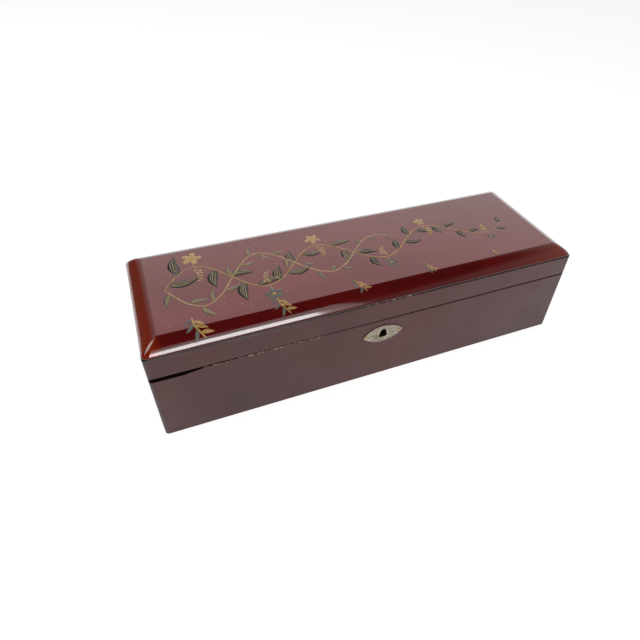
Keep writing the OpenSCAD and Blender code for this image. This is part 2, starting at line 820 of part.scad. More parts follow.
module train_screw_places() {
    for (p = [[1, cyl_y], [19.7, cyl_y]]) translate([p[0], p[1], bed_t + bearing_foot_t]) children();
    for (p = [[23.6, worm_y - 0.2], [26.6, worm_y + 3.4]]) translate([p[0], p[1], frame_top]) children();
}

// Screws that hold the bearings, the governor frame and the spring housing to the bedplate.
module train_screws() {
    color("silver") {
        in_movement() train_screw_places() wood_screw(0.95, 0.55, 2.4);
        housing_feet() translate([0, 0, foot_z + 1.2]) pan_screw(1.3, 0.6, foot_z + 1.2 - bed_t + 1.8);
    }
}

// ---------- comb ----------

module comb_screw_places() {
    for (x = [cyl_x0 + 3.3, cyl_x0 + cyl_l - 3.3]) translate([x, comb_root - 3.2, comb_land_z]) children();
}

module comb() {
    slot = 0.3;
    color("lightsteelblue") in_movement() difference() {
        translate([0, 0, comb_land_z]) linear_extrude(comb_t) difference() {
            translate([comb_x0 + 0.5, comb_root - 6.6]) square([cyl_l - 1, comb_tip - comb_root + 6.6]);
            for (i = [1 : notes - 1])
                translate([note_x(i) - note_pitch / 2 - slot / 2, comb_root + 1.6 * i / notes])
                square([slot, 20]);
        }
        comb_screw_places() cylinder(h = 10, r = 0.9, center = true);
    }
}

module comb_screws() {
    color("silver") in_movement() comb_screw_places() translate([0, 0, comb_t]) pan_screw(1.8, 0.8, 5);
}

// ---------- governor ----------

cheek_t = 1.2;
cheek_x = [22.4, 26.9];
shaft_r = 0.5;
module governor_frame() {
    color("silver") difference() {
        in_movement() {
            box_at([cheek_x[0], train_y - 3, bed_t], [cheek_x[1] + cheek_t, worm_y + 9.6, frame_top]);
            for (x = cheek_x) box_at([x, train_y - 3, bed_t], [x + cheek_t, train_y + 3, cyl_z + 2.4]);
            box_at([worm_x - 3, worm_y + fly_r + 0.9, bed_t], [worm_x + 3, worm_y + 9.6, cock_z + 1.4]);
            box_at([worm_x - 2, worm_y - 2, cock_z], [worm_x + 2, worm_y + 9.6, cock_z + 1.4]);
            translate([0, lever_y, lever_z]) rod_x(lever_x - 0.6, worm_x - 2.9, 0.7);
        }
        at_train() rod_x(0, 40, shaft_r + run_gap);
        at_worm() cylinder(h = 40, r = shaft_r + run_gap);
        in_movement() train_screw_places() screw_hole(0.97, 0.57, 3);
    }
}

// Worm wheel and pinion on one axle, turned by the cylinder wheel.
module governor_wheel() {
    color("gold") at_train() {
        rod_x(wheel_x - 0.3, cheek_x[1] + cheek_t - 0.1, shaft_r);
        gear_x(wheel_x - 0.1, wheel_x + 1.1, mod_fine, pinion_teeth, 0.1, 0, 90 + 180 / pinion_teeth);
        gear_x(worm_x - 0.5, worm_x + 0.5, mod_worm, worm_teeth, 0.3, 0, 270, 0.7);
        rod_x(worm_x + 0.5 - eps, worm_x + 1.6, 1.2);
    }
}

// Two-start worm, level with the middle of the worm wheel.
core_r = worm_r - 0.55;
worm_starts = 2;
worm_turns = 2.5;
worm_l = worm_starts * PI * mod_worm * worm_turns;
worm_z0 = cyl_z - worm_l / 2;
worm_z1 = cyl_z + worm_l / 2;
module governor_worm() {
    tip_r = worm_r + 0.3;
    rings = 30;
    lobe = [[-90, core_r], [-58, core_r], [-34, core_r], [-20, tip_r], [0, tip_r], [20, tip_r],
        [34, core_r], [58, core_r]];
    section = [for (start = [0, 180], p = lobe) [p[1], start + p[0]]];
    m = len(section);
    points = [for (i = [0 : rings], p = section)
        let (xy = polar(p[0], p[1] - 360 * worm_turns * (i / rings - 0.5))) [xy[0], xy[1],
            worm_z0 + worm_l * i / rings]];
    skin = [for (i = [0 : rings - 1], k = [0 : m - 1]) let (a = i * m + k, b = i * m + (k + 1) % m) each
        [[a, a + m, b], [b, a + m, b + m]]];
    ends = [[for (k = [0 : m - 1]) k], [for (k = [m - 1 : -1 : 0]) rings * m + k]];
    color("silver") at_worm() polyhedron(points, concat(skin, ends), convexity = 6);
}

// The plain parts of the worm's shaft, which turn in the governor frame and carry the fly.
module worm_journals() {
    color("silver") at_worm() {
        translate([0, 0, bed_t + 0.1]) cylinder(h = worm_z0 - bed_t - 0.1, r = shaft_r);
        translate([0, 0, worm_z1]) {
            cylinder(h = fly_z + 4 - worm_z1, r = core_r - 0.1);
            cylinder(h = cock_z + 1.3 - worm_z1, r = shaft_r);
        }
    }
}

module air_brake_fly() {
    vane_t = 0.7;
    color("white") at_worm() translate([0, 0, fly_z]) difference() {
        union() {
            cylinder(h = 4, r = 1.5);
            for (s = [0, 180]) rotate(s) {
                translate([0, -vane_t / 2, 0]) cube([fly_r - 0.1, vane_t, 4]);
            }
        }
        cylinder(h = 12, r = core_r - 0.1, center = true);
    }
}

// ---------- stop work ----------

module stop_lever() {
    color("silver") in_movement() translate([lever_x, lever_y, lever_z]) difference() {
        bar_x(0, 1, [[-1.3, -1.3], [-6.7, -2.6], [-6.7, -1.2], [-1.6, 1.3], [1.6, 1.3],
            [plunger_y - lever_y + 1, 0.3],
                     [plunger_y - lever_y + 1, -0.7], [1.6, -1.3]]);
        rod_x(-1, 3, 0.7 + run_gap);
    }
}

module at_plunger() { translate([mx + plunger_x, my + plunger_y, 0]) children(); }

plunger_r = 0.9;
collar_z = 56;
module stop_plunger() {
    foot = mz + lever_z + 0.7;
    color("silver") at_plunger() {
        translate([0, 0, foot]) cylinder(h = plunger_top - foot, r = plunger_r);
        translate([0, 0, foot]) cylinder(h = 0.8, r = 1.7);
        translate([0, 0, collar_z]) cylinder(h = 1, r = bush_r);
    }
}

bush_top = glass_z + glass_t + 1;
module plunger_bush() {
    color("goldenrod") at_plunger() difference() {
        union() {
            translate([0, 0, glass_z - 1.5]) cylinder(h = bush_top - glass_z + 1.5, r = bush_r);
            translate([0, 0, glass_z + glass_t]) cylinder(h = 1, r = bush_r + 1.2);
        }
        cylinder(h = 100, r = plunger_r + run_gap);
    }
}

// Coil spring swept round a helix, as a closed tube.
module plunger_spring() {
    coil_r = 1.55;
    wire_r = 0.2;
    turns = 6;
    per_turn = 12;
    sides = 8;
    z0 = bush_top + wire_r;
    rise = collar_z - bush_top - 2 * wire_r;
    n = turns * per_turn;
    rings = [for (i = [0 : n]) for (k = [0 : sides - 1]) let (a = i * 360 / per_turn, b = k * 360 / sides,
        r = coil_r + wire_r * cos(b)) [r * cos(a), r * sin(a), z0 + rise * i / n + wire_r * sin(b)]];
    sides_f = [for (i = [0 : n - 1], k = [0 : sides - 1])
        let (a = i * sides + k, b = i * sides + (k + 1) % sides)
        [a, a + sides, b + sides, b]];
    caps = [[for (k = [0 : sides - 1]) k], [for (k = [sides - 1 : -1 : 0]) n * sides + k]];
    color("silver") at_plunger() polyhedron(rings, concat(sides_f, caps), convexity = 6);
}

// ---------- parts ----------

front_wall();
back_wall();
left_wall();
right_wall();
bottom_board();
partition();
glass_cleats();
movement_glass();
tray_pad();
tray_lining();
lid_panel();
lid_front_rail();
lid_back_rail();
lid_left_rail();
lid_right_rail();
lid_lining();
left_hinge_case_leaf();
right_hinge_case_leaf();
left_hinge_lid_leaf();
right_hinge_lid_leaf();
hinge_pins();
hinge_case_screws();
hinge_lid_screws();
escutcheon();
escutcheon_pins();
lock_case();
lock_cover();
lock_screws();
lock_bolt();
lock_bolt_spring();
link_plate();
link_plate_screws();
bedplate();
movement_screws();
spring_housing();
mainspring();
great_wheel();
ratchet_click();
winding_arbor();
ratchet_wheel();
wing_key();
cylinder_tube();
cylinder_pins();
cylinder_caps();
cylinder_arbor();
drive_pinion();
cylinder_wheel();
arbor_bearings();
comb();
comb_screws();
governor_frame();
governor_wheel();
governor_worm();
worm_journals();
air_brake_fly();
stop_lever();
stop_plunger();
plunger_bush();
plunger_spring();
train_screws();
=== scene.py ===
"""A red lacquer glove box with a wind-up musical movement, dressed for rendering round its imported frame."""
import json
import math
import random

import bmesh
import bpy
from mathutils import Matrix, Vector


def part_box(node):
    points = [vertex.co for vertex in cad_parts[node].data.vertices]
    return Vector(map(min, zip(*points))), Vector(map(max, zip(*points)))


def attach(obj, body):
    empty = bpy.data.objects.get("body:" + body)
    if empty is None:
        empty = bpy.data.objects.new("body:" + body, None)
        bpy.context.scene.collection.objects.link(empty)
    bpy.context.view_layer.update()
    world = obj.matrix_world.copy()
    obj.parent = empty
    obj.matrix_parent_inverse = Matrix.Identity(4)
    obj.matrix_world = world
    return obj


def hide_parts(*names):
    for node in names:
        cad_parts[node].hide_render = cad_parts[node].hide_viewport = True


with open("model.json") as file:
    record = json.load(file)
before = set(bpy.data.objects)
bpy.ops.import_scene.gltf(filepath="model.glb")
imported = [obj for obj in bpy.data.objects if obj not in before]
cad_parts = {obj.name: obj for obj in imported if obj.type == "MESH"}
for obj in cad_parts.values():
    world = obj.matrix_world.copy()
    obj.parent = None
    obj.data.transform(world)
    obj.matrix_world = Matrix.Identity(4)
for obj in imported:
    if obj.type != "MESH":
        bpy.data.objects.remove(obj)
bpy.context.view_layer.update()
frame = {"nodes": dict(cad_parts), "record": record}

MM = 0.001
TAU = 2 * math.pi
nodes = frame["nodes"]


def corners(name):
    """A node's box in millimetres."""
    lo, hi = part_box(name)
    return lo / MM, hi / MM


# ---------------------------------------------------------------- meshes

def make_piece(name, verts, faces, body, materials, smooth=True, face_mats=None):
    """A mesh object from millimetre points, riding on a body."""
    mesh = bpy.data.meshes.new(name)
    mesh.from_pydata([Vector(v) * MM for v in verts], [], faces)
    mesh.validate()
    for m in materials:
        mesh.materials.append(m)
    if face_mats:
        mesh.polygons.foreach_set("material_index", face_mats)
    mesh.polygons.foreach_set("use_smooth", [smooth] * len(mesh.polygons))
    obj = bpy.data.objects.new(name, mesh)
    bpy.context.scene.collection.objects.link(obj)
    tidy = bmesh.new()
    tidy.from_mesh(mesh)
    bmesh.ops.recalc_face_normals(tidy, faces=tidy.faces)
    tidy.to_mesh(mesh)
    tidy.free()
    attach(obj, body)
    return obj


class Builder:
    """Collects points and faces of many small shapes that share one piece."""

    def __init__(self):
        self.verts = []
        self.faces = []
        self.mats = []

    def add(self, verts, faces, mat=0):
        base = len(self.verts)
        self.verts += verts
        self.faces += [[base + i for i in f] for f in faces]
        self.mats += [mat] * len(faces)

    def loft(self, rings, mat=0, caps=True, closed=True):
        """Joins rings of equal length into a skin."""
        n = len(rings[0])
        faces = []
        span = n if closed else n - 1
        for i in range(len(rings) - 1):
            for k in range(span):
                a, b = i * n + k, i * n + (k + 1) % n
                faces.append([a, b, b + n, a + n])
        if caps:
            faces.append(list(range(n))[::-1])
            faces.append([(len(rings) - 1) * n + k for k in range(n)])
        self.add([p for r in rings for p in r], faces, mat)


def smooth_line(points, per=8):
    """Catmull-Rom curve through points of any dimension."""
    pts = [points[0]] + list(points) + [points[-1]]
    out = []
    for i in range(1, len(pts) - 2):
        p0, p1, p2, p3 = pts[i - 1], pts[i], pts[i + 1], pts[i + 2]
        for k in range(per):
            t = k / per
            out.append(tuple(
                0.5 * (2 * b + (c - a) * t + (2 * a - 5 * b + 4 * c - d) * t * t
                       + (3 * b - a - 3 * c + d) * t ** 3)
                for a, b, c, d in zip(p0, p1, p2, p3)))
    out.append(tuple(points[-1]))
    return out


# ---------------------------------------------------------------- materials

class Shader:
    """Short names for building one node material."""

    def __init__(self, name):
        self.mat = bpy.data.materials.new(name)
        self.mat.use_nodes = True
        self.tree = self.mat.node_tree
        self.bsdf = self.tree.nodes["Principled BSDF"]
        self.coords = self.tree.nodes.new("ShaderNodeTexCoord").outputs["Object"]

    def node(self, kind, inputs=None, **settings):
        n = self.tree.nodes.new(kind)
        for key, value in settings.items():
            setattr(n, key, value)
        for key, value in (inputs or {}).items():
            self.feed(n.inputs[key], value)
        return n

    def feed(self, socket, value):
        if isinstance(value, bpy.types.NodeSocket):
            self.tree.links.new(value, socket)
        else:
            socket.default_value = value

    def set(self, **inputs):
        names = {"color": "Base Color", "rough": "Roughness", "metal": "Metallic", "normal": "Normal",
                 "coat": "Coat Weight", "coat_rough": "Coat Roughness", "sheen": "Sheen Weight",
                 "sheen_rough": "Sheen Roughness", "glass": "Transmission Weight", "ior": "IOR",
                 "specular": "Specular IOR Level", "sub": "Subsurface Weight", "aniso": "Anisotropic",
                 "coat_ior": "Coat IOR", "sheen_tint": "Sheen Tint", "tint": "Specular Tint"}
        for key, value in inputs.items():
            self.feed(self.bsdf.inputs[names[key]], value)
        return self.mat

    def scaled(self, scale=(1, 1, 1), turn=(0, 0, 0)):
        sockets = {"Vector": self.coords, "Scale": scale, "Rotation": turn}
        return self.node("ShaderNodeMapping", sockets).outputs[0]

    def noise(self, scale, detail=4, rough=0.55, vector=None, distort=0.0):
        sockets = {"Vector": vector or self.coords, "Scale": scale, "Detail": detail,
                   "Roughness": rough, "Distortion": distort}
        return self.node("ShaderNodeTexNoise", sockets).outputs["Fac"]

    def cells(self, scale, vector=None, feature="F1", out="Distance"):
        sockets = {"Vector": vector or self.coords, "Scale": scale}
        n = self.node("ShaderNodeTexVoronoi", sockets, feature=feature)
        return n.outputs[out]

    def ramp(self, value, stops, smooth=False):
        n = self.node("ShaderNodeValToRGB", {"Fac": value})
        ramp = n.color_ramp
        ramp.interpolation = "EASE" if smooth else "LINEAR"
        while len(ramp.elements) < len(stops):
            ramp.elements.new(0.5)
        for element, (at, shade) in zip(ramp.elements, stops):
            element.position = at
            element.color = (*shade, 1) if isinstance(shade, tuple) else (shade, shade, shade, 1)
        return n.outputs[0]

    def math(self, op, a, b=0.0, clamp=False):
        n = self.node("ShaderNodeMath", operation=op, use_clamp=clamp)
        self.feed(n.inputs[0], a)
        self.feed(n.inputs[1], b)
        return n.outputs[0]

    def mix(self, factor, a, b, blend="MIX"):
        n = self.node("ShaderNodeMix", data_type="RGBA", blend_type=blend)
        self.feed(n.inputs[0], factor)
        for socket, value in ((n.inputs[6], a), (n.inputs[7], b)):
            self.feed(socket, (*value, 1) if isinstance(value, tuple) else value)
        return n.outputs[2]

    def bump(self, height, distance, strength=1.0, under=None):
        n = self.node("ShaderNodeBump", {"Height": height, "Distance": distance, "Strength": strength})
        if under:
            self.feed(n.inputs["Normal"], under)
        return n.outputs[0]

    def axis(self, letter):
        n = self.node("ShaderNodeSeparateXYZ", {"Vector": self.coords})
        return n.outputs["XYZ".index(letter)]

    def inside(self, start, end):
        """0 on the box's outer faces, 1 further in, with the change between two insets in millimetres."""
        insets = [self.math("SUBTRACT", half * MM, self.math("ABSOLUTE", self.axis(letter)))
                  for letter, half in (("X", HALF_L), ("Y", HALF_W))]
        past = self.math("SUBTRACT", self.math("MINIMUM", *insets), start * MM)
        return self.math("DIVIDE", past, (end - start) * MM, clamp=True)

    def near(self, value, centre, half):
        """1 at centre, falling to 0 at half away from it."""
        away = self.math("ABSOLUTE", self.math("SUBTRACT", value, centre))
        return self.math("SUBTRACT", 1.0, self.math("DIVIDE", away, half), clamp=True)


# Heights and places that the decoration, the wear and the painted shade follow, in millimetres.
case_hi = corners("front_wall")[1]
panel_lo, panel_hi = corners("lid_panel")
rail_lo, rail_hi = corners("lid_front_rail")
SEAM_Z = (case_hi.z + rail_lo.z) / 2
PANEL_Z = panel_lo.z
STROKE_ROOM = 0.17  # the painted strokes stand on the top and stay inside the CAD box
TOP_Z = panel_hi.z - STROKE_ROOM
HALF_L = rail_hi.x
HALF_W = -rail_lo.y


def edge_wear(s, level, reach, grain, x_range=None):
    """A ragged mask of chips along a level edge, in metres up from the table."""
    band = s.near(s.axis("Z"), level * MM, reach * MM)
    rag = s.ramp(s.noise(grain, 3, 0.7), [(0.5, 0.0), (0.62, 1.0)])
    mask = s.math("MULTIPLY", s.ramp(band, [(0.25, 0.0), (0.7, 1.0)]), rag)
    if x_range:
        x0, x1 = x_range
        along = s.near(s.axis("X"), (x0 + x1) / 2 * MM, (x1 - x0) / 2 * MM)
        mask = s.math("MULTIPLY", mask, s.ramp(along, [(0.0, 0.0), (0.15, 1.0)]))
    return mask


def satin_lacquer(name):
    """Old brown-red lacquer on the sides: a dusty satin over a dark ground, worn at the rims."""
    s = Shader(name)
    cloud = s.noise(14, 5, 0.6)
    tone = s.ramp(cloud, [(0.3, SIDE_DARK), (0.55, SIDE_MID), (0.75, SIDE_LIGHT)])
    grain = s.noise(1.0, 4, 0.6, s.scaled((60, 900, 900)))
    tone = s.mix(s.ramp(grain, [(0.35, 0.0), (0.7, 0.3)]), tone, SIDE_LIGHT)
    redder = s.near(s.axis("X"), 0.01, 0.09)
    tone = s.mix(s.math("MULTIPLY", redder, 0.35), tone, SIDE_RED)
    dust = s.ramp(s.cells(1500), [(0.05, 1.0), (0.13, 0.0)])
    dust = s.math("MULTIPLY", dust, s.ramp(s.noise(90, 2), [(0.5, 0.0), (0.75, 0.6)]))
    tone = s.mix(dust, tone, (0.42, 0.34, 0.32))
    # Faces set in from the outer outline (rim tops, insides) turn near-black: black lacquer that also paints
    # in the shade down the gap between lid and case
    tone = s.mix(s.inside(0.22, 0.5), tone, (0.010, 0.005, 0.005))
    chips = edge_wear(s, SEAM_Z - 0.55, 0.55, 420, (-124, -40))
    rim = edge_wear(s, PANEL_Z - 0.1, 0.5, 380, (-14, 22))
    wear = s.math("MAXIMUM", chips, rim)
    tone = s.mix(wear, tone, (0.5, 0.36, 0.2))
    scuffs = s.ramp(s.noise(1.0, 2, 0.5, s.scaled((20, 500, 500), (0, 0.4, 0))), [(0.62, 0.0), (0.68, 1.0)])
    rough = s.ramp(s.noise(40, 4), [(0.3, 0.3), (0.7, 0.46)])
    rough = s.math("ADD", rough, s.math("MULTIPLY", scuffs, 0.08))
    fine = s.bump(s.noise(700, 3), 0.00002)
    wavy = s.bump(s.noise(18, 2), 0.0004, 0.35, fine)
    return s.set(color=tone, rough=rough, normal=s.bump(wear, 0.0002, 0.6, wavy),
                 coat=0.1, coat_rough=0.22, specular=0.36)


SIDE_DARK = (0.050, 0.010, 0.010)
SIDE_MID = (0.074, 0.017, 0.016)
SIDE_LIGHT = (0.090, 0.029, 0.030)
SIDE_RED = (0.093, 0.015, 0.013)
TOP_RED = (0.155, 0.006, 0.005)
TOP_DEEP = (0.09, 0.004, 0.004)
TOP_ORANGE = (0.32, 0.028, 0.004)
# milky pink of the flat top: partly haze in the lacquer, partly painted light
TOP_HAZE_AND_LIGHT = (0.32, 0.040, 0.036)


def gloss_lacquer(name):
    """Clear red lacquer of the lid top: deep, glossy, with hairline scratches and specks; a milky haze on the
    flat top that is partly painted light, and painted shade at the foot of the bevel.
    """
    s = Shader(name)
    depth = s.noise(22, 4, 0.6)
    tone = s.ramp(depth, [(0.35, TOP_DEEP), (0.65, TOP_RED)])
    streak = s.noise(1.0, 3, 0.5, s.scaled((14, 260, 60)))
    tone = s.mix(s.ramp(streak, [(0.45, 0.0), (0.75, 0.35)]), tone, TOP_RED)
    left = s.ramp(s.math("MULTIPLY", s.axis("X"), -1.0 / (HALF_L * MM)), [(0.915, 0.0), (0.95, 1.0)])
    right = s.ramp(s.math("MULTIPLY", s.axis("X"), 1.0 / (HALF_L * MM)), [(0.6, 0.0), (0.98, 0.75)])
    front = s.ramp(s.math("MULTIPLY", s.axis("Y"), -1.0 / (HALF_W * MM)), [(0.78, 0.0), (0.84, 1.0)])
    thin = s.math("MAXIMUM", left, s.math("MULTIPLY", right, front))
    tone = s.mix(s.math("MULTIPLY", thin, 0.8), tone, TOP_ORANGE)
    # The flat top, in from the bevel, turns a milky pink: partly haze, partly painted light for the top
    # catching more light than the bevel
    wipes = s.noise(1.0, 4, 0.6, s.scaled((9, 70, 9), (0, 0, -0.3)), 0.4)
    haze_and_light_cover = s.math("MULTIPLY", s.ramp(s.noise(9, 4), [(0.3, 0.72), (0.7, 1.0)]),
                        s.ramp(wipes, [(0.3, 0.62), (0.62, 1.0)]))
    tone = s.mix(s.math("MULTIPLY", s.inside(10.3, 10.7), haze_and_light_cover), tone, TOP_HAZE_AND_LIGHT)
    # Painted shade and painted dark reflection: the foot of the bevel, where the panel meets the rails, turns
    # near-black with a little noise
    foot = s.near(s.axis("Z"), PANEL_Z * MM, 2.2 * MM)
    foot_shade = s.math("ADD", foot, s.math("MULTIPLY", s.noise(60, 3), 0.3))
    tone = s.mix(s.ramp(foot_shade, [(0.55, 0.0), (0.8, 1.0)]), tone, (0.008, 0.003, 0.003))
    chips = edge_wear(s, PANEL_Z + 0.3, 0.5, 380, (-16, 20))
    tone = s.mix(chips, tone, (0.5, 0.36, 0.2))
    specks = s.ramp(s.cells(260), [(0.02, 1.0), (0.045, 0.0)])
    specks = s.math("MULTIPLY", specks, s.ramp(s.noise(30, 2), [(0.55, 0.0), (0.7, 0.5)]))
    tone = s.mix(specks, tone, (0.02, 0.008, 0.008))
    hair = s.ramp(s.noise(1.0, 2, 0.4, s.scaled((30, 1400, 200), (0, 0, 0.35))), [(0.63, 0.0), (0.66, 1.0)])
    haze = s.ramp(s.noise(9, 4), [(0.3, 0.09), (0.7, 0.17)])
    rough = s.math("ADD", haze, s.math("MULTIPLY", hair, 0.05))
    ripple = s.bump(s.noise(34, 3), 0.0005, 0.3)
    return s.set(color=tone, rough=rough, normal=s.bump(hair, 0.00001, 0.3, ripple), coat=1.0,
                 coat_rough=0.05, coat_ior=1.55)


def pigment(name, low, high, metal, rough, grain):
    """Brushed-on gold or colour: a thin raised layer, patchy and slightly granular."""
    s = Shader(name)
    patch = s.noise(grain, 5, 0.7)
    tone = s.ramp(patch, [(0.32, low), (0.68, high)])
    dull = s.ramp(s.noise(grain * 3, 3), [(0.3, rough), (0.7, min(1.0, rough + 0.2))])
    return s.set(color=tone, metal=metal, rough=dull, coat=0.3,
                 normal=s.bump(s.noise(grain * 6, 3), 0.00004, 0.7))


def metal_shader(name, low, high, rough, scratch=(900, 60, 900), tarnish=(0.1, 0.07, 0.04),
                 amount=0.35, bump=0.00001):
    """Metal with drawn or turned lines and tarnish in patches."""
    s = Shader(name)
    lines = s.noise(1.0, 4, 0.6, s.scaled(scratch))
    tone = s.ramp(lines, [(0.3, low), (0.7, high)])
    spots = s.math("MULTIPLY", s.ramp(s.noise(160, 5, 0.65), [(0.5, 0.0), (0.72, 1.0)]), amount)
    tone = s.mix(spots, tone, tarnish)
    shine = s.math("ADD", s.ramp(lines, [(0.2, rough), (0.8, rough + 0.12)]),
                   s.math("MULTIPLY", spots, 0.3))
    s.set(color=tone, metal=1.0, rough=shine, normal=s.bump(lines, bump, 0.6))
    s.tone = tone
    return s


def metal(*args, **options):
    return metal_shader(*args, **options).mat


def stamped_plate(name, foot):
    """Nickelled relief: grains and hollows dark with old polish and with painted shade, high spots bright."""
    s = metal_shader(name, (0.28, 0.24, 0.18), (0.58, 0.52, 0.42), 0.3, (1400, 1400, 1400),
                     (0.08, 0.06, 0.04), 0.45, 0.00008)
    grains = s.cells(1500)
    # Darker the deeper in the relief: old polish in the hollows, and painted shade where less light reaches
    height = s.math("DIVIDE", s.math("SUBTRACT", foot * MM, s.axis("Y")), 0.9 * MM)
    hollow = s.ramp(s.math("ADD", height, s.math("MULTIPLY", s.noise(900, 3), 0.35)),
                    [(0.5, 0.85), (0.72, 0.0)])
    pits = s.math("MULTIPLY", s.ramp(grains, [(0.25, 0.0), (0.5, 0.75)]), hollow)
    polish_and_shade = s.math("MAXIMUM", pits, s.math("MULTIPLY", hollow, 0.3))
    s.set(color=s.mix(polish_and_shade, s.tone, (0.05, 0.038, 0.028)), normal=s.bump(grains, 0.00012, 0.8))
    return s.mat


def raw_wood(name, along=(6, 90, 90)):
    s = Shader(name)
    rings = s.noise(1.0, 6, 0.6, s.scaled(along), 0.6)
    tone = s.ramp(rings, [(0.3, (0.16, 0.075, 0.03)), (0.5, (0.28, 0.15, 0.07)), (0.72, (0.4, 0.24, 0.12))])
    pores = s.ramp(s.noise(1.0, 2, 0.5, s.scaled(tuple(a * 9 for a in along))), [(0.35, 1.0), (0.45, 0.0)])
    tone = s.mix(s.math("MULTIPLY", pores, 0.5), tone, (0.08, 0.035, 0.015))
    rough = s.ramp(rings, [(0.3, 0.72), (0.7, 0.55)])
    return s.set(color=tone, rough=rough, normal=s.bump(s.math("SUBTRACT", rings, pores), 0.00015, 0.5))


def velvet(name):
    s = Shader(name)
    nap = s.noise(60, 5, 0.6, distort=0.5)
    tone = s.ramp(nap, [(0.3, (0.10, 0.004, 0.012)), (0.7, (0.22, 0.012, 0.03))])
    pile = s.noise(4200, 2, 0.6)
    tone = s.mix(s.ramp(pile, [(0.4, 0.0), (0.7, 0.4)]), tone, (0.3, 0.03, 0.05))
    return s.set(color=tone, rough=0.95, sheen=0.6, sheen_rough=0.35, sheen_tint=(0.9, 0.5, 0.5, 1),
                 normal=s.bump(pile, 0.00025, 0.7, s.bump(nap, 0.0006, 0.4)))


def clear_glass(name):
    s = Shader(name)
    film = s.ramp(s.noise(35, 4), [(0.4, 0.02), (0.75, 0.07)])
    tone = s.ramp(s.noise(12, 2), [(0.3, (0.94, 0.98, 0.96)), (0.7, (0.98, 1.0, 0.99))])
    return s.set(color=tone, rough=film, glass=1.0, ior=1.5, normal=s.bump(s.noise(10, 2), 0.0005, 0.05))


def nylon(name):
    s = Shader(name)
    tone = s.ramp(s.noise(120, 4), [(0.3, (0.68, 0.66, 0.58)), (0.7, (0.82, 0.8, 0.74))])
    rough = s.ramp(s.noise(300, 3), [(0.3, 0.38), (0.7, 0.52)])
    return s.set(color=tone, rough=rough, sub=0.1, normal=s.bump(s.noise(900, 2), 0.00003, 0.5))


# ---------------------------------------------------------------- lid top

QUIRK = 0.6
BEVEL_RUN = 10.5
NOSE_R = 1.5
NOSE_FROM, NOSE_TO, ARC_TO = (math.radians(a) for a in (85, 48, 14))
NOSE_RUN = NOSE_R * (math.sin(NOSE_FROM) - math.sin(NOSE_TO))
NOSE_RISE = NOSE_R * (math.cos(NOSE_TO) - math.cos(NOSE_FROM))
EDGE_IN = 0.3
ARC_RUN = BEVEL_RUN - EDGE_IN - NOSE_RUN
ARC_RISE = TOP_Z - PANEL_Z - QUIRK - NOSE_RISE


def bevel_profile(nose_steps, arc_steps):
    """(distance in from the edge, height) from the foot of the bevel to the flat top."""
    out = []
    for i in range(nose_steps + 1):
        a = NOSE_FROM + (NOSE_TO - NOSE_FROM) * i / nose_steps
        out.append((EDGE_IN + NOSE_R * (math.sin(NOSE_FROM) - math.sin(a)),
                    PANEL_Z + QUIRK + NOSE_R * (math.cos(a) - math.cos(NOSE_FROM))))
    sweep = math.sin(NOSE_TO) - math.sin(ARC_TO)
    lift = math.cos(ARC_TO) - math.cos(NOSE_TO)
    for i in range(1, arc_steps + 1):
        a = NOSE_TO + (ARC_TO - NOSE_TO) * i / arc_steps
        out.append((EDGE_IN + NOSE_RUN + ARC_RUN * (math.sin(NOSE_TO) - math.sin(a)) / sweep,
                    PANEL_Z + QUIRK + NOSE_RISE + ARC_RISE * (math.cos(a) - math.cos(NOSE_TO)) / lift))
    return out


PROFILE = bevel_profile(12, 40)


def top_height(x, y):
    """Height of the lid's upper surface above a point of its plan."""
    inset = min(HALF_L - abs(x), HALF_W - abs(y))
    for (d0, z0), (d1, z1) in zip(PROFILE, PROFILE[1:]):
        if inset <= d1:
            return z0 + (z1 - z0) * max(0.0, (inset - d0) / (d1 - d0))
    return TOP_Z


def top_point(x, y, lift=0.0):
    """A point on the lid's upper surface, raised along its normal."""
    step = 0.15
    slope_x = (top_height(x + step, y) - top_height(x - step, y)) / (2 * step)
    slope_y = (top_height(x, y + step) - top_height(x, y - step)) / (2 * step)
    normal = Vector((-slope_x, -slope_y, 1)).normalized()
    return tuple(Vector((x, y, top_height(x, y))) + normal * lift)


def plan_ring(inset, corner, per_corner=7, per_side=10):
    """A rounded rectangle inside the box's outline, as [x, y] points."""
    ring = []
    r = max(corner, 0.25)
    a, b = HALF_L - inset, HALF_W - inset
    centres = [(a - r, b - r, 0), (-a + r, b - r, 90), (-a + r, -b + r, 180), (a - r, -b + r, 270)]
    for i, (cx, cy, start) in enumerate(centres):
        turns = [math.radians(start + 90 * k / per_corner) for k in range(per_corner + 1)]
        arc = [(cx + r * math.cos(a0), cy + r * math.sin(a0)) for a0 in turns]
        ring += arc
        nx, ny, nstart = centres[(i + 1) % 4]
        nxt = (nx + r * math.cos(math.radians(nstart)), ny + r * math.sin(math.radians(nstart)))
        ex, ey = arc[-1]
        ring += [(ex + (nxt[0] - ex) * k / per_side, ey + (nxt[1] - ey) * k / per_side)
                 for k in range(1, per_side)]
    return ring


def build_lid_top(material):
    """The panel as a closed body: flat underside, quirk at its foot, round nose, bevel and flat top."""
    b = Builder()
    rings = []
    quirk = [(0.9, PANEL_Z), (0.55, PANEL_Z + 0.02), (0.5, PANEL_Z + 0.3), (0.42, PANEL_Z + QUIRK - 0.05)]
    for inset, z in quirk:
        rings.append([(x, y, z) for x, y in plan_ring(inset, 3.6)])
    for inset, z in bevel_profile(8, 18):
        corner = 3.7 - 2.4 * min(1.0, inset / BEVEL_RUN)
        rings.append([(x, y, z) for x, y in plan_ring(inset, corner)])
    rings.append([(x, y, TOP_Z) for x, y in plan_ring(BEVEL_RUN + 0.25, 1.1)])
    rings.append([(x, y, TOP_Z) for x, y in plan_ring(BEVEL_RUN + 0.8, 0.9)])
    b.loft(rings)
    obj = make_piece("lid_top_board", b.verts, b.faces, "lid", [material])
    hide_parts("lid_panel")
    return obj


# ---------------------------------------------------------------- painted decoration

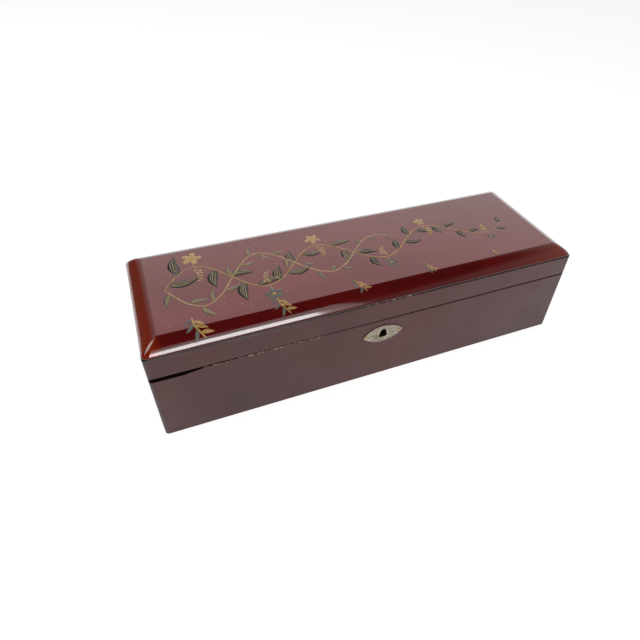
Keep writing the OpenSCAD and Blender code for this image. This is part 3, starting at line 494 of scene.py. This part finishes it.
class Painting(Builder):
    """Brush strokes laid on the lid top. Places are millimetres on the lid's plan."""

    def stroke(self, path, width, mat=0, lift=0.07, taper=(0.25, 0.2), per=7):
        """A raised ribbon on a smooth path. width is its middle width, taper the share left at each end."""
        line = smooth_line(path, per)
        n = len(line) - 1
        rings = []
        for i, (x, y) in enumerate(line):
            x0, y0 = line[max(0, i - 1)]
            x1, y1 = line[min(n, i + 1)]
            length = math.hypot(x1 - x0, y1 - y0) or 1.0
            nx, ny = -(y1 - y0) / length, (x1 - x0) / length
            t = i / n
            swell = math.sin(math.pi * min(1.0, max(0.0, t))) ** 0.6
            ends = taper[0] * (1 - t) + taper[1] * t
            w = width * (ends + (1 - ends) * swell) / 2
            rings.append([top_point(x + nx * w * side, y + ny * w * side, rise)
                          for side, rise in ((-1, 0.0), (-0.55, lift), (0.55, lift), (1, 0.0))])
        self.loft(rings, mat)

    def blob(self, outline, mat=0, lift=0.06):
        """A filled shape with a soft raised edge, fanned from its middle."""
        n = len(outline)
        cx = sum(p[0] for p in outline) / n
        cy = sum(p[1] for p in outline) / n
        core = 0.04

        def ring(share, rise):
            return [top_point(cx + (x - cx) * share, cy + (y - cy) * share, rise) for x, y in outline]

        steps = ((1.0, 0.0), (0.9, 0.75), (0.5, 1.0), (core, 1.0))
        self.loft([ring(core, -0.01)] + [ring(share, lift * rise) for share, rise in steps], mat)

    def leaf(self, x, y, length, turn, width, mat=0, bend=0.15, lift=0.05):
        """A pointed leaf from its stalk end, turned in degrees from +X."""
        a = math.radians(turn)
        n = 14
        left, right = [], []
        for i in range(n + 1):
            t = i / n
            half = width / 2 * math.sin(math.pi * t ** 0.8) ** 0.9
            side = bend * length * math.sin(math.pi * t)
            for store, s in ((left, 1), (right, -1)):
                u, v = t * length, side + s * half
                store.append((x + u * math.cos(a) - v * math.sin(a), y + u * math.sin(a) + v * math.cos(a)))
        rings = []
        for p, q in zip(left, right):
            mid = [(p[0] + (q[0] - p[0]) * k, p[1] + (q[1] - p[1]) * k) for k in (0.0, 0.2, 0.5, 0.8, 1.0)]
            rise = (0.0, 0.8, 1.0, 0.8, 0.0)
            rings.append([top_point(mx, my, lift * r) for (mx, my), r in zip(mid, rise)])
        self.loft(rings, mat)

    def vein(self, x, y, length, turn, width, mat, bend=0.15, outline=True):
        """Midrib and, with outline, a loose line on each side of it, for a leaf of the same numbers."""
        a = math.radians(turn)

        def place(t, off):
            side = off * width / 2 * math.sin(math.pi * t ** 0.8) ** 0.9
            v = bend * length * math.sin(math.pi * t) + side
            u = t * length
            return (x + u * math.cos(a) - v * math.sin(a), y + u * math.sin(a) + v * math.cos(a))

        self.stroke([place(t, 0.0) for t in (0.0, 0.3, 0.6, 0.88)], 0.55, mat, 0.1)
        if outline:
            self.stroke([place(t, 0.5) for t in (0.1, 0.35, 0.65, 0.9)], 0.42, mat, 0.1)
            self.stroke([place(t, -0.45) for t in (0.1, 0.3, 0.5, 0.7)], 0.36, mat, 0.1)

    def oval(self, x, y, rx, ry, turn, mat=0, lift=0.1):
        a = math.radians(turn)
        outline = []
        for k in range(14):
            u, v = rx * math.cos(TAU * k / 14), ry * math.sin(TAU * k / 14)
            outline.append((x + u * math.cos(a) - v * math.sin(a), y + u * math.sin(a) + v * math.cos(a)))
        self.blob(outline, mat, lift)


GOLD, PALE, GREEN, SLATE, RUST = range(5)


def along(path, share):
    """Place and heading, in degrees, at a share of the way along a smooth path."""
    line = smooth_line(path, 12)
    i = min(len(line) - 2, int(share * (len(line) - 1)))
    (x0, y0), (x1, y1) = line[i], line[i + 1]
    return x0, y0, math.degrees(math.atan2(y1 - y0, x1 - x0))


def ground(u, v):
    """A place on the lid's flat from shares of its half length and half width, -1 to 1 each."""
    return u * (HALF_L - BEVEL_RUN), v * (HALF_W - BEVEL_RUN)


def wave_stem(start, end, waves, sway, phase):
    """Points of a stem that waves along the lid and calms down towards its end."""
    per_wave = 8
    points = per_wave * waves + 1
    line = []
    for i in range(points):
        t = i / (points - 1)
        calm = 1 - 0.5 * t
        line.append(ground(start + (end - start) * t, sway * calm * math.sin(TAU * waves * t + phase)))
    return line


def blossom(p, x, y, r, turn, petal):
    """Five rounded petals, each with a short rust line, about a gold heart."""
    for k in range(5):
        facing = turn + 72 * k
        a = math.radians(facing)
        u, v = math.cos(a), math.sin(a)
        p.oval(x + 0.62 * r * u, y + 0.62 * r * v, 0.46 * r, 0.32 * r, facing, petal, 0.06)
        p.stroke([(x + 0.3 * r * u, y + 0.3 * r * v), (x + 0.8 * r * u, y + 0.8 * r * v)], 0.3, RUST, 0.1)
    p.oval(x, y, 0.24 * r, 0.24 * r, 0, GOLD, 0.14)


def berry_shoot(p, x, y, heading, reach, count):
    """A thin bent shoot with berries on alternate sides, smaller towards its tip."""
    a = math.radians(heading)
    u, v = math.cos(a), math.sin(a)
    path = [(x, y), (x + reach * (0.5 * u - 0.12 * v), y + reach * (0.5 * v + 0.12 * u)),
            (x + reach * u, y + reach * v)]
    p.stroke(path, 0.35, PALE)
    for k in range(count):
        t = 0.3 + 0.7 * k / (count - 1)
        bx, by, _ = along(path, t)
        side = (1 if k % 2 else -1) * (1.7 - t)
        size = 1.25 - 0.55 * t
        p.oval(bx - side * v, by + side * u, size, 0.75 * size, heading, GOLD if k % 3 == 0 else PALE)


def paint_vine(p, path, leaves, length, width, mats, crests, rng):
    """Leaves at even steps on alternate sides of a stem, shorter towards its end. mats: stem, leaf, vein.

    The stem is left bare about its crests, where the blossoms and berry shoots grow.
    """
    stem, leaf, vein = mats
    bare = 0.13
    p.stroke(path, 0.9, stem, taper=(0.8, 0.3))
    for k in range(leaves):
        t = (k + 0.5) / leaves
        if crests and abs((t * crests) % 1 - 0.5) < bare:
            continue
        x, y, heading = along(path, t)
        side = 1 if k % 2 else -1
        long = length * (1 - 0.55 * t) * rng.uniform(0.9, 1.1)
        wide = width * (1 - 0.5 * t)
        lean = 44 + rng.uniform(-6, 6)
        turn = heading + side * lean
        p.leaf(x, y, long, turn, wide, leaf, 0.1 * side)
        p.vein(x, y, long, turn, wide, vein, 0.1 * side, outline=t < 0.5)


def paint_flowers(p, path, waves):
    """A blossom off each crest of a waving stem, and a berry shoot off the other side."""
    crests = 2 * waves
    for k in range(crests):
        t = (k + 0.5) / crests
        x, y, heading = along(path, t)
        side = 1 if y > 0 else -1
        size = 6.4 * (1 - 0.5 * t)
        blossom(p, x, y + side * 1.5 * size, size, 24 * k, SLATE if k % 2 else PALE)
        p.stroke([(x, y), (x, y + side * size)], 0.45, PALE)
        berry_shoot(p, x, y, heading - side * 80, 16 * (1 - 0.45 * t), 9)


def paint_bevel_sprigs(p, count):
    """Evenly spaced sprigs that spill from the flat over the front bevel, smaller to the right."""
    for k in range(count):
        scale = 1 - 0.55 * k / (count - 1)
        x, y = ground(-0.85 + 1.5 * k / (count - 1), -0.78)
        foot = -(HALF_W - 3.0)
        tip = (x + 5 * scale, y + (foot - y) * scale)
        path = [(x, y), (x + 0.5 * scale, (y + tip[1]) / 2), tip]
        p.stroke(path, 1.3 * scale, GOLD, 0.1, (0.8, 0.3))
        for j in range(6):
            jx, jy, heading = along(path, 0.12 + 0.13 * j)
            side, mat = (1, GOLD) if j % 2 else (-1, SLATE)
            p.leaf(jx, jy, 7.5 * scale, heading + side * 50, 2.3 * scale, mat, 0.06)


def paint_specks(p, count, rng):
    """Sprinkled gold, thicker towards the left end."""
    for _ in range(count):
        x, y = ground(0.97 * (2 * rng.betavariate(1.0, 2.2) - 1), rng.uniform(-0.95, 0.95))
        size = rng.uniform(0.2, 0.5)
        turn = rng.uniform(0, 180)
        p.oval(x, y, size, 0.7 * size, turn, GOLD if rng.random() < 0.5 else PALE)


# ---------------------------------------------------------------- keyhole plate

plate_lo, plate_hi = corners("escutcheon")
PLATE_X = (plate_lo.x + plate_hi.x) / 2
PLATE_Z = (plate_lo.z + plate_hi.z) / 2
PLATE_A = (plate_hi.x - plate_lo.x) / 2
PLATE_B = (plate_hi.z - plate_lo.z) / 2
RELIEF = 0.88
HOLE_MID = 0.3  # height of the middle of the keyhole above the middle of the plate


def lens_point(t):
    """Edge of the pointed oval plate, t running once round."""
    r = (PLATE_A ** 2 + PLATE_B ** 2) / (2 * PLATE_B)
    x = PLATE_A * math.cos(t)
    z = math.sqrt(max(0.0, r * r - x * x)) - (r - PLATE_B)
    return 0.995 * x, 0.995 * math.copysign(z, math.sin(t))


KEYHOLE = [(0, 4.1), (-1.7, 3.4), (-2.3, 1.7), (-2.75, 0.2), (-2.8, -1.4), (-1.7, -2.8), (0, -2.6),
           (1.7, -2.8), (2.8, -1.4), (2.75, 0.2), (2.3, 1.7), (1.7, 3.4), (0, 4.1)]
SHANK_R, SHANK_Z, SLOT_TOP, SLOT_FOOT, SLOT_Z = 2.3, 2.0, 1.1, 2.2, -2.7


def keyhole_point(t):
    """Edge of the keyhole in the direction t from its middle."""
    line = smooth_line(KEYHOLE, 10)
    want = math.atan2(math.sin(t), math.cos(t))

    def miss(point):
        off = math.atan2(point[1] - HOLE_MID, point[0]) - want
        return abs(math.atan2(math.sin(off), math.cos(off)))

    return min(line, key=miss)


def bore_point(t):
    """Edge of the hole that the wall has behind the plate, in the direction t."""
    reach = 0.0
    step = 0.02
    for k in range(1, 300):
        x, z = k * step * math.cos(t), HOLE_MID + k * step * math.sin(t)
        half = SLOT_TOP + (SLOT_FOOT - SLOT_TOP) * (SHANK_Z - z) / (SHANK_Z - SLOT_Z)
        if math.hypot(x, z - SHANK_Z) < SHANK_R or (SLOT_Z < z < SHANK_Z and abs(x) < half):
            reach = k * step
    return reach * math.cos(t), HOLE_MID + reach * math.sin(t)


def scroll_paths():
    """Centre lines of the raised ornament, in millimetres from the middle of the plate.

    Each quarter has a spiral and a fan of rays about the keyhole, all made by rule.
    """
    paths = []
    for s in (1, -1):
        for turn in (1, -1):
            spiral = [(math.radians(28 * k), 1.9 - 0.14 * k) for k in range(12)]
            paths.append([(s * (9.0 - r * math.cos(a)), turn * (1.7 + r * math.sin(a))) for a, r in spiral])
            for degrees in (22, 44, 66):
                a = math.radians(degrees)
                radii = (3.7, 4.1, 4.5, 4.9, 5.3, 5.7)
                paths.append([(s * r * math.cos(a), turn * r * math.sin(a)) for r in radii])
        paths.append([(s * (11.2 + 0.3 * k), 0.0) for k in range(5)])
    return paths


def build_escutcheon(material, dark):
    """The plate with its raised ornament, and behind it a near-black lining round the keyhole and down the
    wall's hole, painted shade for the dark inside the hole.
    """
    around, across = 192, 26
    ground_height, edge_height = 0.34, 0.2
    paths = [p for path in scroll_paths() for p in path]
    foot = plate_hi.y
    rings = []
    for j in range(across + 1):
        u = j / across
        ring = []
        for i in range(around):
            t = TAU * i / around
            (ax, az), (bx, bz) = keyhole_point(t), lens_point(t)
            x, z = ax + (bx - ax) * u, az + (bz - az) * u
            gap = min(math.hypot(x - px, z - pz) for px, pz in paths)
            scroll = 0.36 * math.exp(-(gap / 0.42) ** 2)
            rim = math.exp(-((u - 0.93) / 0.035) ** 2) * (0.3 + 0.12 * math.cos(around / 3 * t))
            lip = 0.3 * math.exp(-(u / 0.07) ** 2)
            height = min(RELIEF, ground_height + scroll + rim + lip)
            if j == across:
                height = edge_height
            ring.append((PLATE_X + x, foot - height, PLATE_Z + z))
        rings.append(ring)
    first = [(x, foot - 0.02, z) for x, y, z in rings[0]]
    last = [(x, foot - 0.02, z) for x, y, z in rings[-1]]
    b = Builder()
    b.loft([first] + rings + [last], caps=False)
    n = around
    end = (len(rings) + 1) * n
    b.faces += [[k, (k + 1) % n, end + (k + 1) % n, end + k] for k in range(n)]
    b.mats += [0] * n
    plate = make_piece("keyhole_plate", b.verts, b.faces, "case", [material])
    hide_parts("escutcheon")
    c = Builder()
    # Painted shade: a near-black sleeve from the keyhole's edge back to the wall's hole and 4.5 mm into it,
    # standing in for the shade inside the keyhole
    turns = [TAU * i / 72 for i in range(72)]
    throat = ((keyhole_point, 1.04, foot - 0.1), (bore_point, 0.97, foot - 0.05),
              (bore_point, 0.97, foot + 4.5))
    rings = [[(PLATE_X + x * k, y, PLATE_Z + HOLE_MID + (z - HOLE_MID) * k) for x, z in map(edge, turns)]
             for edge, k, y in throat]
    c.loft(rings, caps=False)
    make_piece("keyhole_shade_lining", c.verts, c.faces, "case", [dark])


# ---------------------------------------------------------------- cloth linings

def pillow_face(x0, x1, y0, y1, flat_z, full, nx, ny, seam, rng):
    """A padded board: flat on one side, crowned on the other, with a sewn channel near its edge."""
    b = Builder()
    sign = 1 if full > 0 else -1
    grid = []
    for j in range(ny + 1):
        for i in range(nx + 1):
            x, y = x0 + (x1 - x0) * i / nx, y0 + (y1 - y0) * j / ny
            edge = min(x - x0, x1 - x, y - y0, y1 - y)
            crown = min(1.0, (edge + 0.05) / 3.0) ** 0.45
            channel = 0.42 * math.exp(-((edge - seam) / 1.1) ** 2)
            wave = 0.05 * math.sin(0.31 * x + 1.7 * math.sin(0.09 * y)) * math.sin(0.27 * y + 0.6)
            ripple = wave + 0.03 * (rng.random() - 0.5)
            h = abs(full) * max(0.3 * crown, min(0.985, crown * (0.93 - channel + ripple)))
            grid.append((x, y, flat_z + sign * h))
    foot = [(x, y, flat_z) for x, y, _ in grid]
    row = nx + 1
    n = len(grid)
    faces = []
    for j in range(ny):
        for i in range(nx):
            a = j * row + i
            faces.append([a, a + 1, a + row + 1, a + row])
            faces.append([n + a, n + a + row, n + a + row + 1, n + a + 1])
    rim = list(range(nx + 1)) + [j * row + nx for j in range(1, ny + 1)] \
        + [ny * row + i for i in range(nx - 1, -1, -1)] + [j * row for j in range(ny - 1, 0, -1)]
    for p, q in zip(rim, rim[1:] + rim[:1]):
        faces.append([p, n + p, n + q, q])
    b.add(grid + foot, faces)
    return b


def build_linings(cloth):
    """Padded linings for the lid, the tray floor and the tray walls, in place of the plain CAD solids."""
    rng = random.Random(11)
    lo, hi = corners("lid_lining")
    b = pillow_face(lo.x, hi.x, lo.y, hi.y, hi.z, -(hi.z - lo.z), 138, 42, 7.0, rng)
    lid = make_piece("lid_lining_pad", b.verts, b.faces, "lid", [cloth])
    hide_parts("lid_lining")
    lo, hi = corners("tray_pad")
    b = pillow_face(lo.x, hi.x, lo.y, hi.y, lo.z, hi.z - lo.z, 106, 42, 5.0, rng)
    floor_pad = make_piece("tray_floor_pad", b.verts, b.faces, "case", [cloth])
    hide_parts("tray_pad")
    build_tray_lining(cloth, rng)


def build_tray_lining(cloth, rng):
    """The cloth strip round the tray's walls, with a rolled top that dips for the lock and for a hinge."""
    lo, hi = corners("tray_lining")
    lock_lo, lock_hi = corners("lock_cover")
    leaf_lo, leaf_hi = corners("right_hinge_case_leaf")
    thick = 1.2
    route = []

    def side(x0, y0, x1, y1, stops):
        """Stations along one wall; stops are (from, to, top) dips along it."""
        length = math.hypot(x1 - x0, y1 - y0)
        marks = {0.0, 1.0} | {k * 4.0 / length for k in range(1, int(length / 4))}
        for s0, s1, top in stops:
            marks |= {s0 - 0.4 / length, s0, s1, s1 + 0.4 / length}
        for m in sorted(marks):
            if not 0 <= m <= 1:
                continue
            top = hi.z
            for s0, s1, dip in stops:
                if s0 <= m <= s1:
                    top = dip
            route.append((x0 + (x1 - x0) * m, y0 + (y1 - y0) * m, top))

    span = hi.x - lo.x
    lock_dip = ((lock_lo.x - 0.5 - lo.x) / span, (lock_hi.x + 0.5 - lo.x) / span, lock_lo.z - 0.5)
    leaf_dip = ((hi.x - leaf_hi.x - 1.2) / span, (hi.x - leaf_lo.x + 1.2) / span, leaf_lo.z - 0.6)
    side(lo.x, lo.y, hi.x, lo.y, [lock_dip])
    side(hi.x, lo.y, hi.x, hi.y, [])
    side(hi.x, hi.y, lo.x, hi.y, [leaf_dip])
    side(lo.x, hi.y, lo.x, lo.y, [])
    rings = []
    for x, y, top in route:
        puff = 0.9 + 0.1 * rng.random()
        ring = []
        rolled = ((0.0, lo.z), (0.0, top - 0.5), (0.25, top - 0.08), (0.6, top), (0.95, top - 0.2),
                  (1.0, top - 0.9), (0.86, top - 2.2), (puff, (top + lo.z) / 2), (0.95 * puff, lo.z + 2.0),
                  (1.0, lo.z))
        for inward, z in rolled:
            dx = thick * inward * (1 if x < lo.x + 0.01 else -1 if x > hi.x - 0.01 else 0)
            dy = thick * inward * (1 if y < lo.y + 0.01 else -1 if y > hi.y - 0.01 else 0)
            ring.append((x + dx, y + dy, z))
        rings.append(ring)
    b = Builder()
    b.loft(rings + [rings[0]], caps=False)
    strip = make_piece("tray_wall_lining", b.verts, b.faces, "case", [cloth])
    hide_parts("tray_lining")


# ---------------------------------------------------------------- put together

def dress_frame():
    """A material for every CAD node that stays in sight, by its slot."""
    by_slot = {
        "case_lacquer": satin_lacquer("case_satin"),
        "lid_lacquer": satin_lacquer("lid_satin"),
        "inner_wood": raw_wood("inner_wood"),
        "clear_glass": clear_glass("sheet_glass"),
        "aged_brass": metal("aged_brass", (0.42, 0.26, 0.08), (0.62, 0.42, 0.16), 0.28,
                            tarnish=(0.14, 0.08, 0.03)),
        "escutcheon_metal": metal("plate_metal", (0.3, 0.25, 0.19), (0.5, 0.44, 0.36), 0.35),
        "steel": metal("drawn_steel", (0.4, 0.4, 0.41), (0.6, 0.6, 0.61), 0.22,
                       tarnish=(0.18, 0.13, 0.1), amount=0.2),
        "blued_steel": metal("blued_steel", (0.03, 0.045, 0.1), (0.07, 0.09, 0.18), 0.2,
                             tarnish=(0.1, 0.07, 0.05)),
        "comb_steel": metal("comb_steel", (0.5, 0.5, 0.51), (0.7, 0.7, 0.71), 0.16,
                            (1500, 50, 1500), amount=0.12),
        "zinc_casting": metal("plated_casting", (0.36, 0.35, 0.33), (0.5, 0.49, 0.46), 0.38,
                              (120, 120, 120), bump=0.00008),
        "bright_brass": metal("bright_brass", (0.62, 0.42, 0.13), (0.85, 0.62, 0.24), 0.16,
                              (80, 1600, 1600), amount=0.15),
        "white_nylon": nylon("white_nylon"),
    }
    slots = {part["node"]: part["material_slot"] for part in frame["record"]["subparts"]}
    for name, obj in nodes.items():
        wanted = by_slot.get(slots[name])
        if wanted and not obj.hide_render:
            obj.data.materials.clear()
            obj.data.materials.append(wanted)


def paint_lid():
    """A generic scrolling vine, placed by rule from the lid's size, as one piece for each pigment."""
    rng = random.Random(5)
    p = Painting()
    waves = 3
    main = wave_stem(-0.93, 0.88, waves, 0.5, 0.0)
    paint_vine(p, main, 34, 19, 7.0, (GOLD, GREEN, PALE), 2 * waves, rng)
    paint_vine(p, wave_stem(-0.93, 0.3, 2, 0.62, math.pi), 22, 13, 4.0, (PALE, SLATE, GOLD), 0, rng)
    paint_flowers(p, main, waves)
    paint_bevel_sprigs(p, 5)
    paint_specks(p, 150, rng)
    pigments = [pigment("old_gold", (0.50, 0.28, 0.07), (0.82, 0.53, 0.19), 0.55, 0.34, 500),
                pigment("pale_gold", (0.60, 0.39, 0.15), (0.88, 0.64, 0.32), 0.4, 0.38, 420),
                pigment("dark_leaf", (0.014, 0.017, 0.015), (0.045, 0.050, 0.042), 0.1, 0.4, 300),
                pigment("slate_green", (0.12, 0.12, 0.105), (0.24, 0.23, 0.20), 0.2, 0.42, 380),
                pigment("rust_line", (0.28, 0.06, 0.03), (0.5, 0.16, 0.07), 0.5, 0.4, 400)]
    names = ["gold_strokes", "pale_gold_strokes", "dark_leaf_strokes", "slate_green_strokes",
             "rust_strokes"]
    for k, (name, material) in enumerate(zip(names, pigments)):
        b = Builder()
        keep = {}
        for face, m in zip(p.faces, p.mats):
            if m == k:
                b.faces.append([keep.setdefault(v, len(keep)) for v in face])
        b.verts = [p.verts[v] for v in keep]
        make_piece(name, b.verts, b.faces, "lid", [material])


def build_floor():
    """A wide pale floor that gives off a little light, so that it renders white."""
    reach = 40.0
    glow = 0.72
    square = [(x * reach, y * reach, 0) for x, y in ((-1, -1), (1, -1), (1, 1), (-1, 1))]
    mesh = bpy.data.meshes.new("floor")
    mesh.from_pydata(square, [], [[0, 1, 2, 3]])
    floor = bpy.data.objects.new("floor", mesh)
    bpy.context.scene.collection.objects.link(floor)
    s = Shader("pale_floor")
    s.bsdf.inputs["Emission Color"].default_value = (1, 1, 1, 1)
    s.bsdf.inputs["Emission Strength"].default_value = glow
    mesh.materials.append(s.set(color=(0.88, 0.88, 0.88, 1), rough=0.9))


def build_lights():
    """Soft area lights. Places are metres, power is watts."""
    def area(name, at, aim, size, power):
        light = bpy.data.lights.new(name, "AREA")
        light.shape = "RECTANGLE"
        light.size, light.size_y = size
        light.energy = power
        obj = bpy.data.objects.new(name, light)
        obj.location = at
        obj.rotation_euler = (Vector(aim) - Vector(at)).to_track_quat("-Z", "Y").to_euler()
        bpy.context.scene.collection.objects.link(obj)

    area("front_strip", (-0.04, -0.66, 0.84), (-0.09, -0.05, 0.07), (0.52, 0.22), 2.6)
    area("high_left", (-0.85, 0.35, 1.05), (0, 0, 0.04), (0.6, 0.6), 3.2)
    area("front_glow", (0.02, -0.62, 0.88), (-0.09, -0.05, 0.07), (0.60, 0.50), 0.9)


def build_world():
    """Surrounding light, dark overhead, behind the camera and at the far left."""
    world = bpy.data.worlds.new("studio")
    bpy.context.scene.world = world
    world.use_nodes = True
    tree = world.node_tree
    coords = tree.nodes.new("ShaderNodeTexCoord").outputs["Generated"]
    split = tree.nodes.new("ShaderNodeSeparateXYZ")
    tree.links.new(coords, split.inputs[0])
    ramp = tree.nodes.new("ShaderNodeValToRGB")
    tree.links.new(split.outputs[2], ramp.inputs[0])
    ramp.color_ramp.elements.new(0.5)
    by_height = ((0.05, 1.35), (0.70, 0.72), (0.80, 0.03))
    for element, (at, shade) in zip(ramp.color_ramp.elements, by_height):
        element.position = at
        element.color = (shade, shade, shade * 1.01, 1)
    back = tree.nodes.new("ShaderNodeMath")
    back.operation = "MULTIPLY_ADD"
    tree.links.new(split.outputs[1], back.inputs[0])
    back.inputs[1].default_value = 0.5
    back.inputs[2].default_value = 0.5
    lean = tree.nodes.new("ShaderNodeMath")
    lean.operation = "MULTIPLY_ADD"
    tree.links.new(split.outputs[2], lean.inputs[0])
    lean.inputs[1].default_value = 0.6
    tree.links.new(split.outputs[0], lean.inputs[2])
    shade_left = tree.nodes.new("ShaderNodeMapRange")
    tree.links.new(lean.outputs[0], shade_left.inputs["Value"])
    for key, value in (("From Min", -0.25), ("From Max", 0.2), ("To Min", 0.05), ("To Max", 1.0)):
        shade_left.inputs[key].default_value = value
    both = tree.nodes.new("ShaderNodeMath")
    both.operation = "MULTIPLY"
    tree.links.new(back.outputs[0], both.inputs[0])
    tree.links.new(shade_left.outputs[0], both.inputs[1])
    tree.links.new(ramp.outputs[0], tree.nodes["Background"].inputs[0])
    tree.links.new(both.outputs[0], tree.nodes["Background"].inputs[1])


# The photograph's view, from a perspective fit of the box's edges: millimetres and degrees.
CAMERA_AT = (-121.5, -256.6, 269.6)
CAMERA_TURN = (24.16, 42.04, 2.63)
LENS = 28.65
SHIFT = (-0.0383, -0.0084)


def build_camera():
    """The camera at the photograph's angle: turned from +Y, tipped down and rolled."""
    camera = bpy.data.cameras.new("camera")
    camera.sensor_width = 36
    camera.lens = LENS
    camera.shift_x, camera.shift_y = SHIFT
    camera.clip_start = 0.01
    obj = bpy.data.objects.new("camera", camera)
    yaw, pitch, roll = (math.radians(a) for a in CAMERA_TURN)
    ahead = Vector((math.sin(yaw) * math.cos(pitch), math.cos(yaw) * math.cos(pitch), -math.sin(pitch)))
    right = Vector((math.cos(yaw), -math.sin(yaw), 0))
    up = right.cross(ahead)
    c, d = math.cos(roll), math.sin(roll)
    right, up = c * right + d * up, -d * right + c * up
    obj.matrix_world = Matrix((right, up, -ahead)).transposed().to_4x4()
    obj.location = Vector(CAMERA_AT) * MM
    bpy.context.scene.collection.objects.link(obj)
    bpy.context.scene.camera = obj


bpy.context.scene.view_settings.view_transform = "Standard"
build_lid_top(gloss_lacquer("top_gloss"))
paint_lid()
build_escutcheon(stamped_plate("stamped_plate", plate_hi.y),
                 metal("keyhole_shade_black", (0.006, 0.005, 0.004), (0.02, 0.016, 0.012), 0.6))
build_linings(velvet("lining_velvet"))
dress_frame()
build_floor()
build_lights()
build_world()
build_camera()
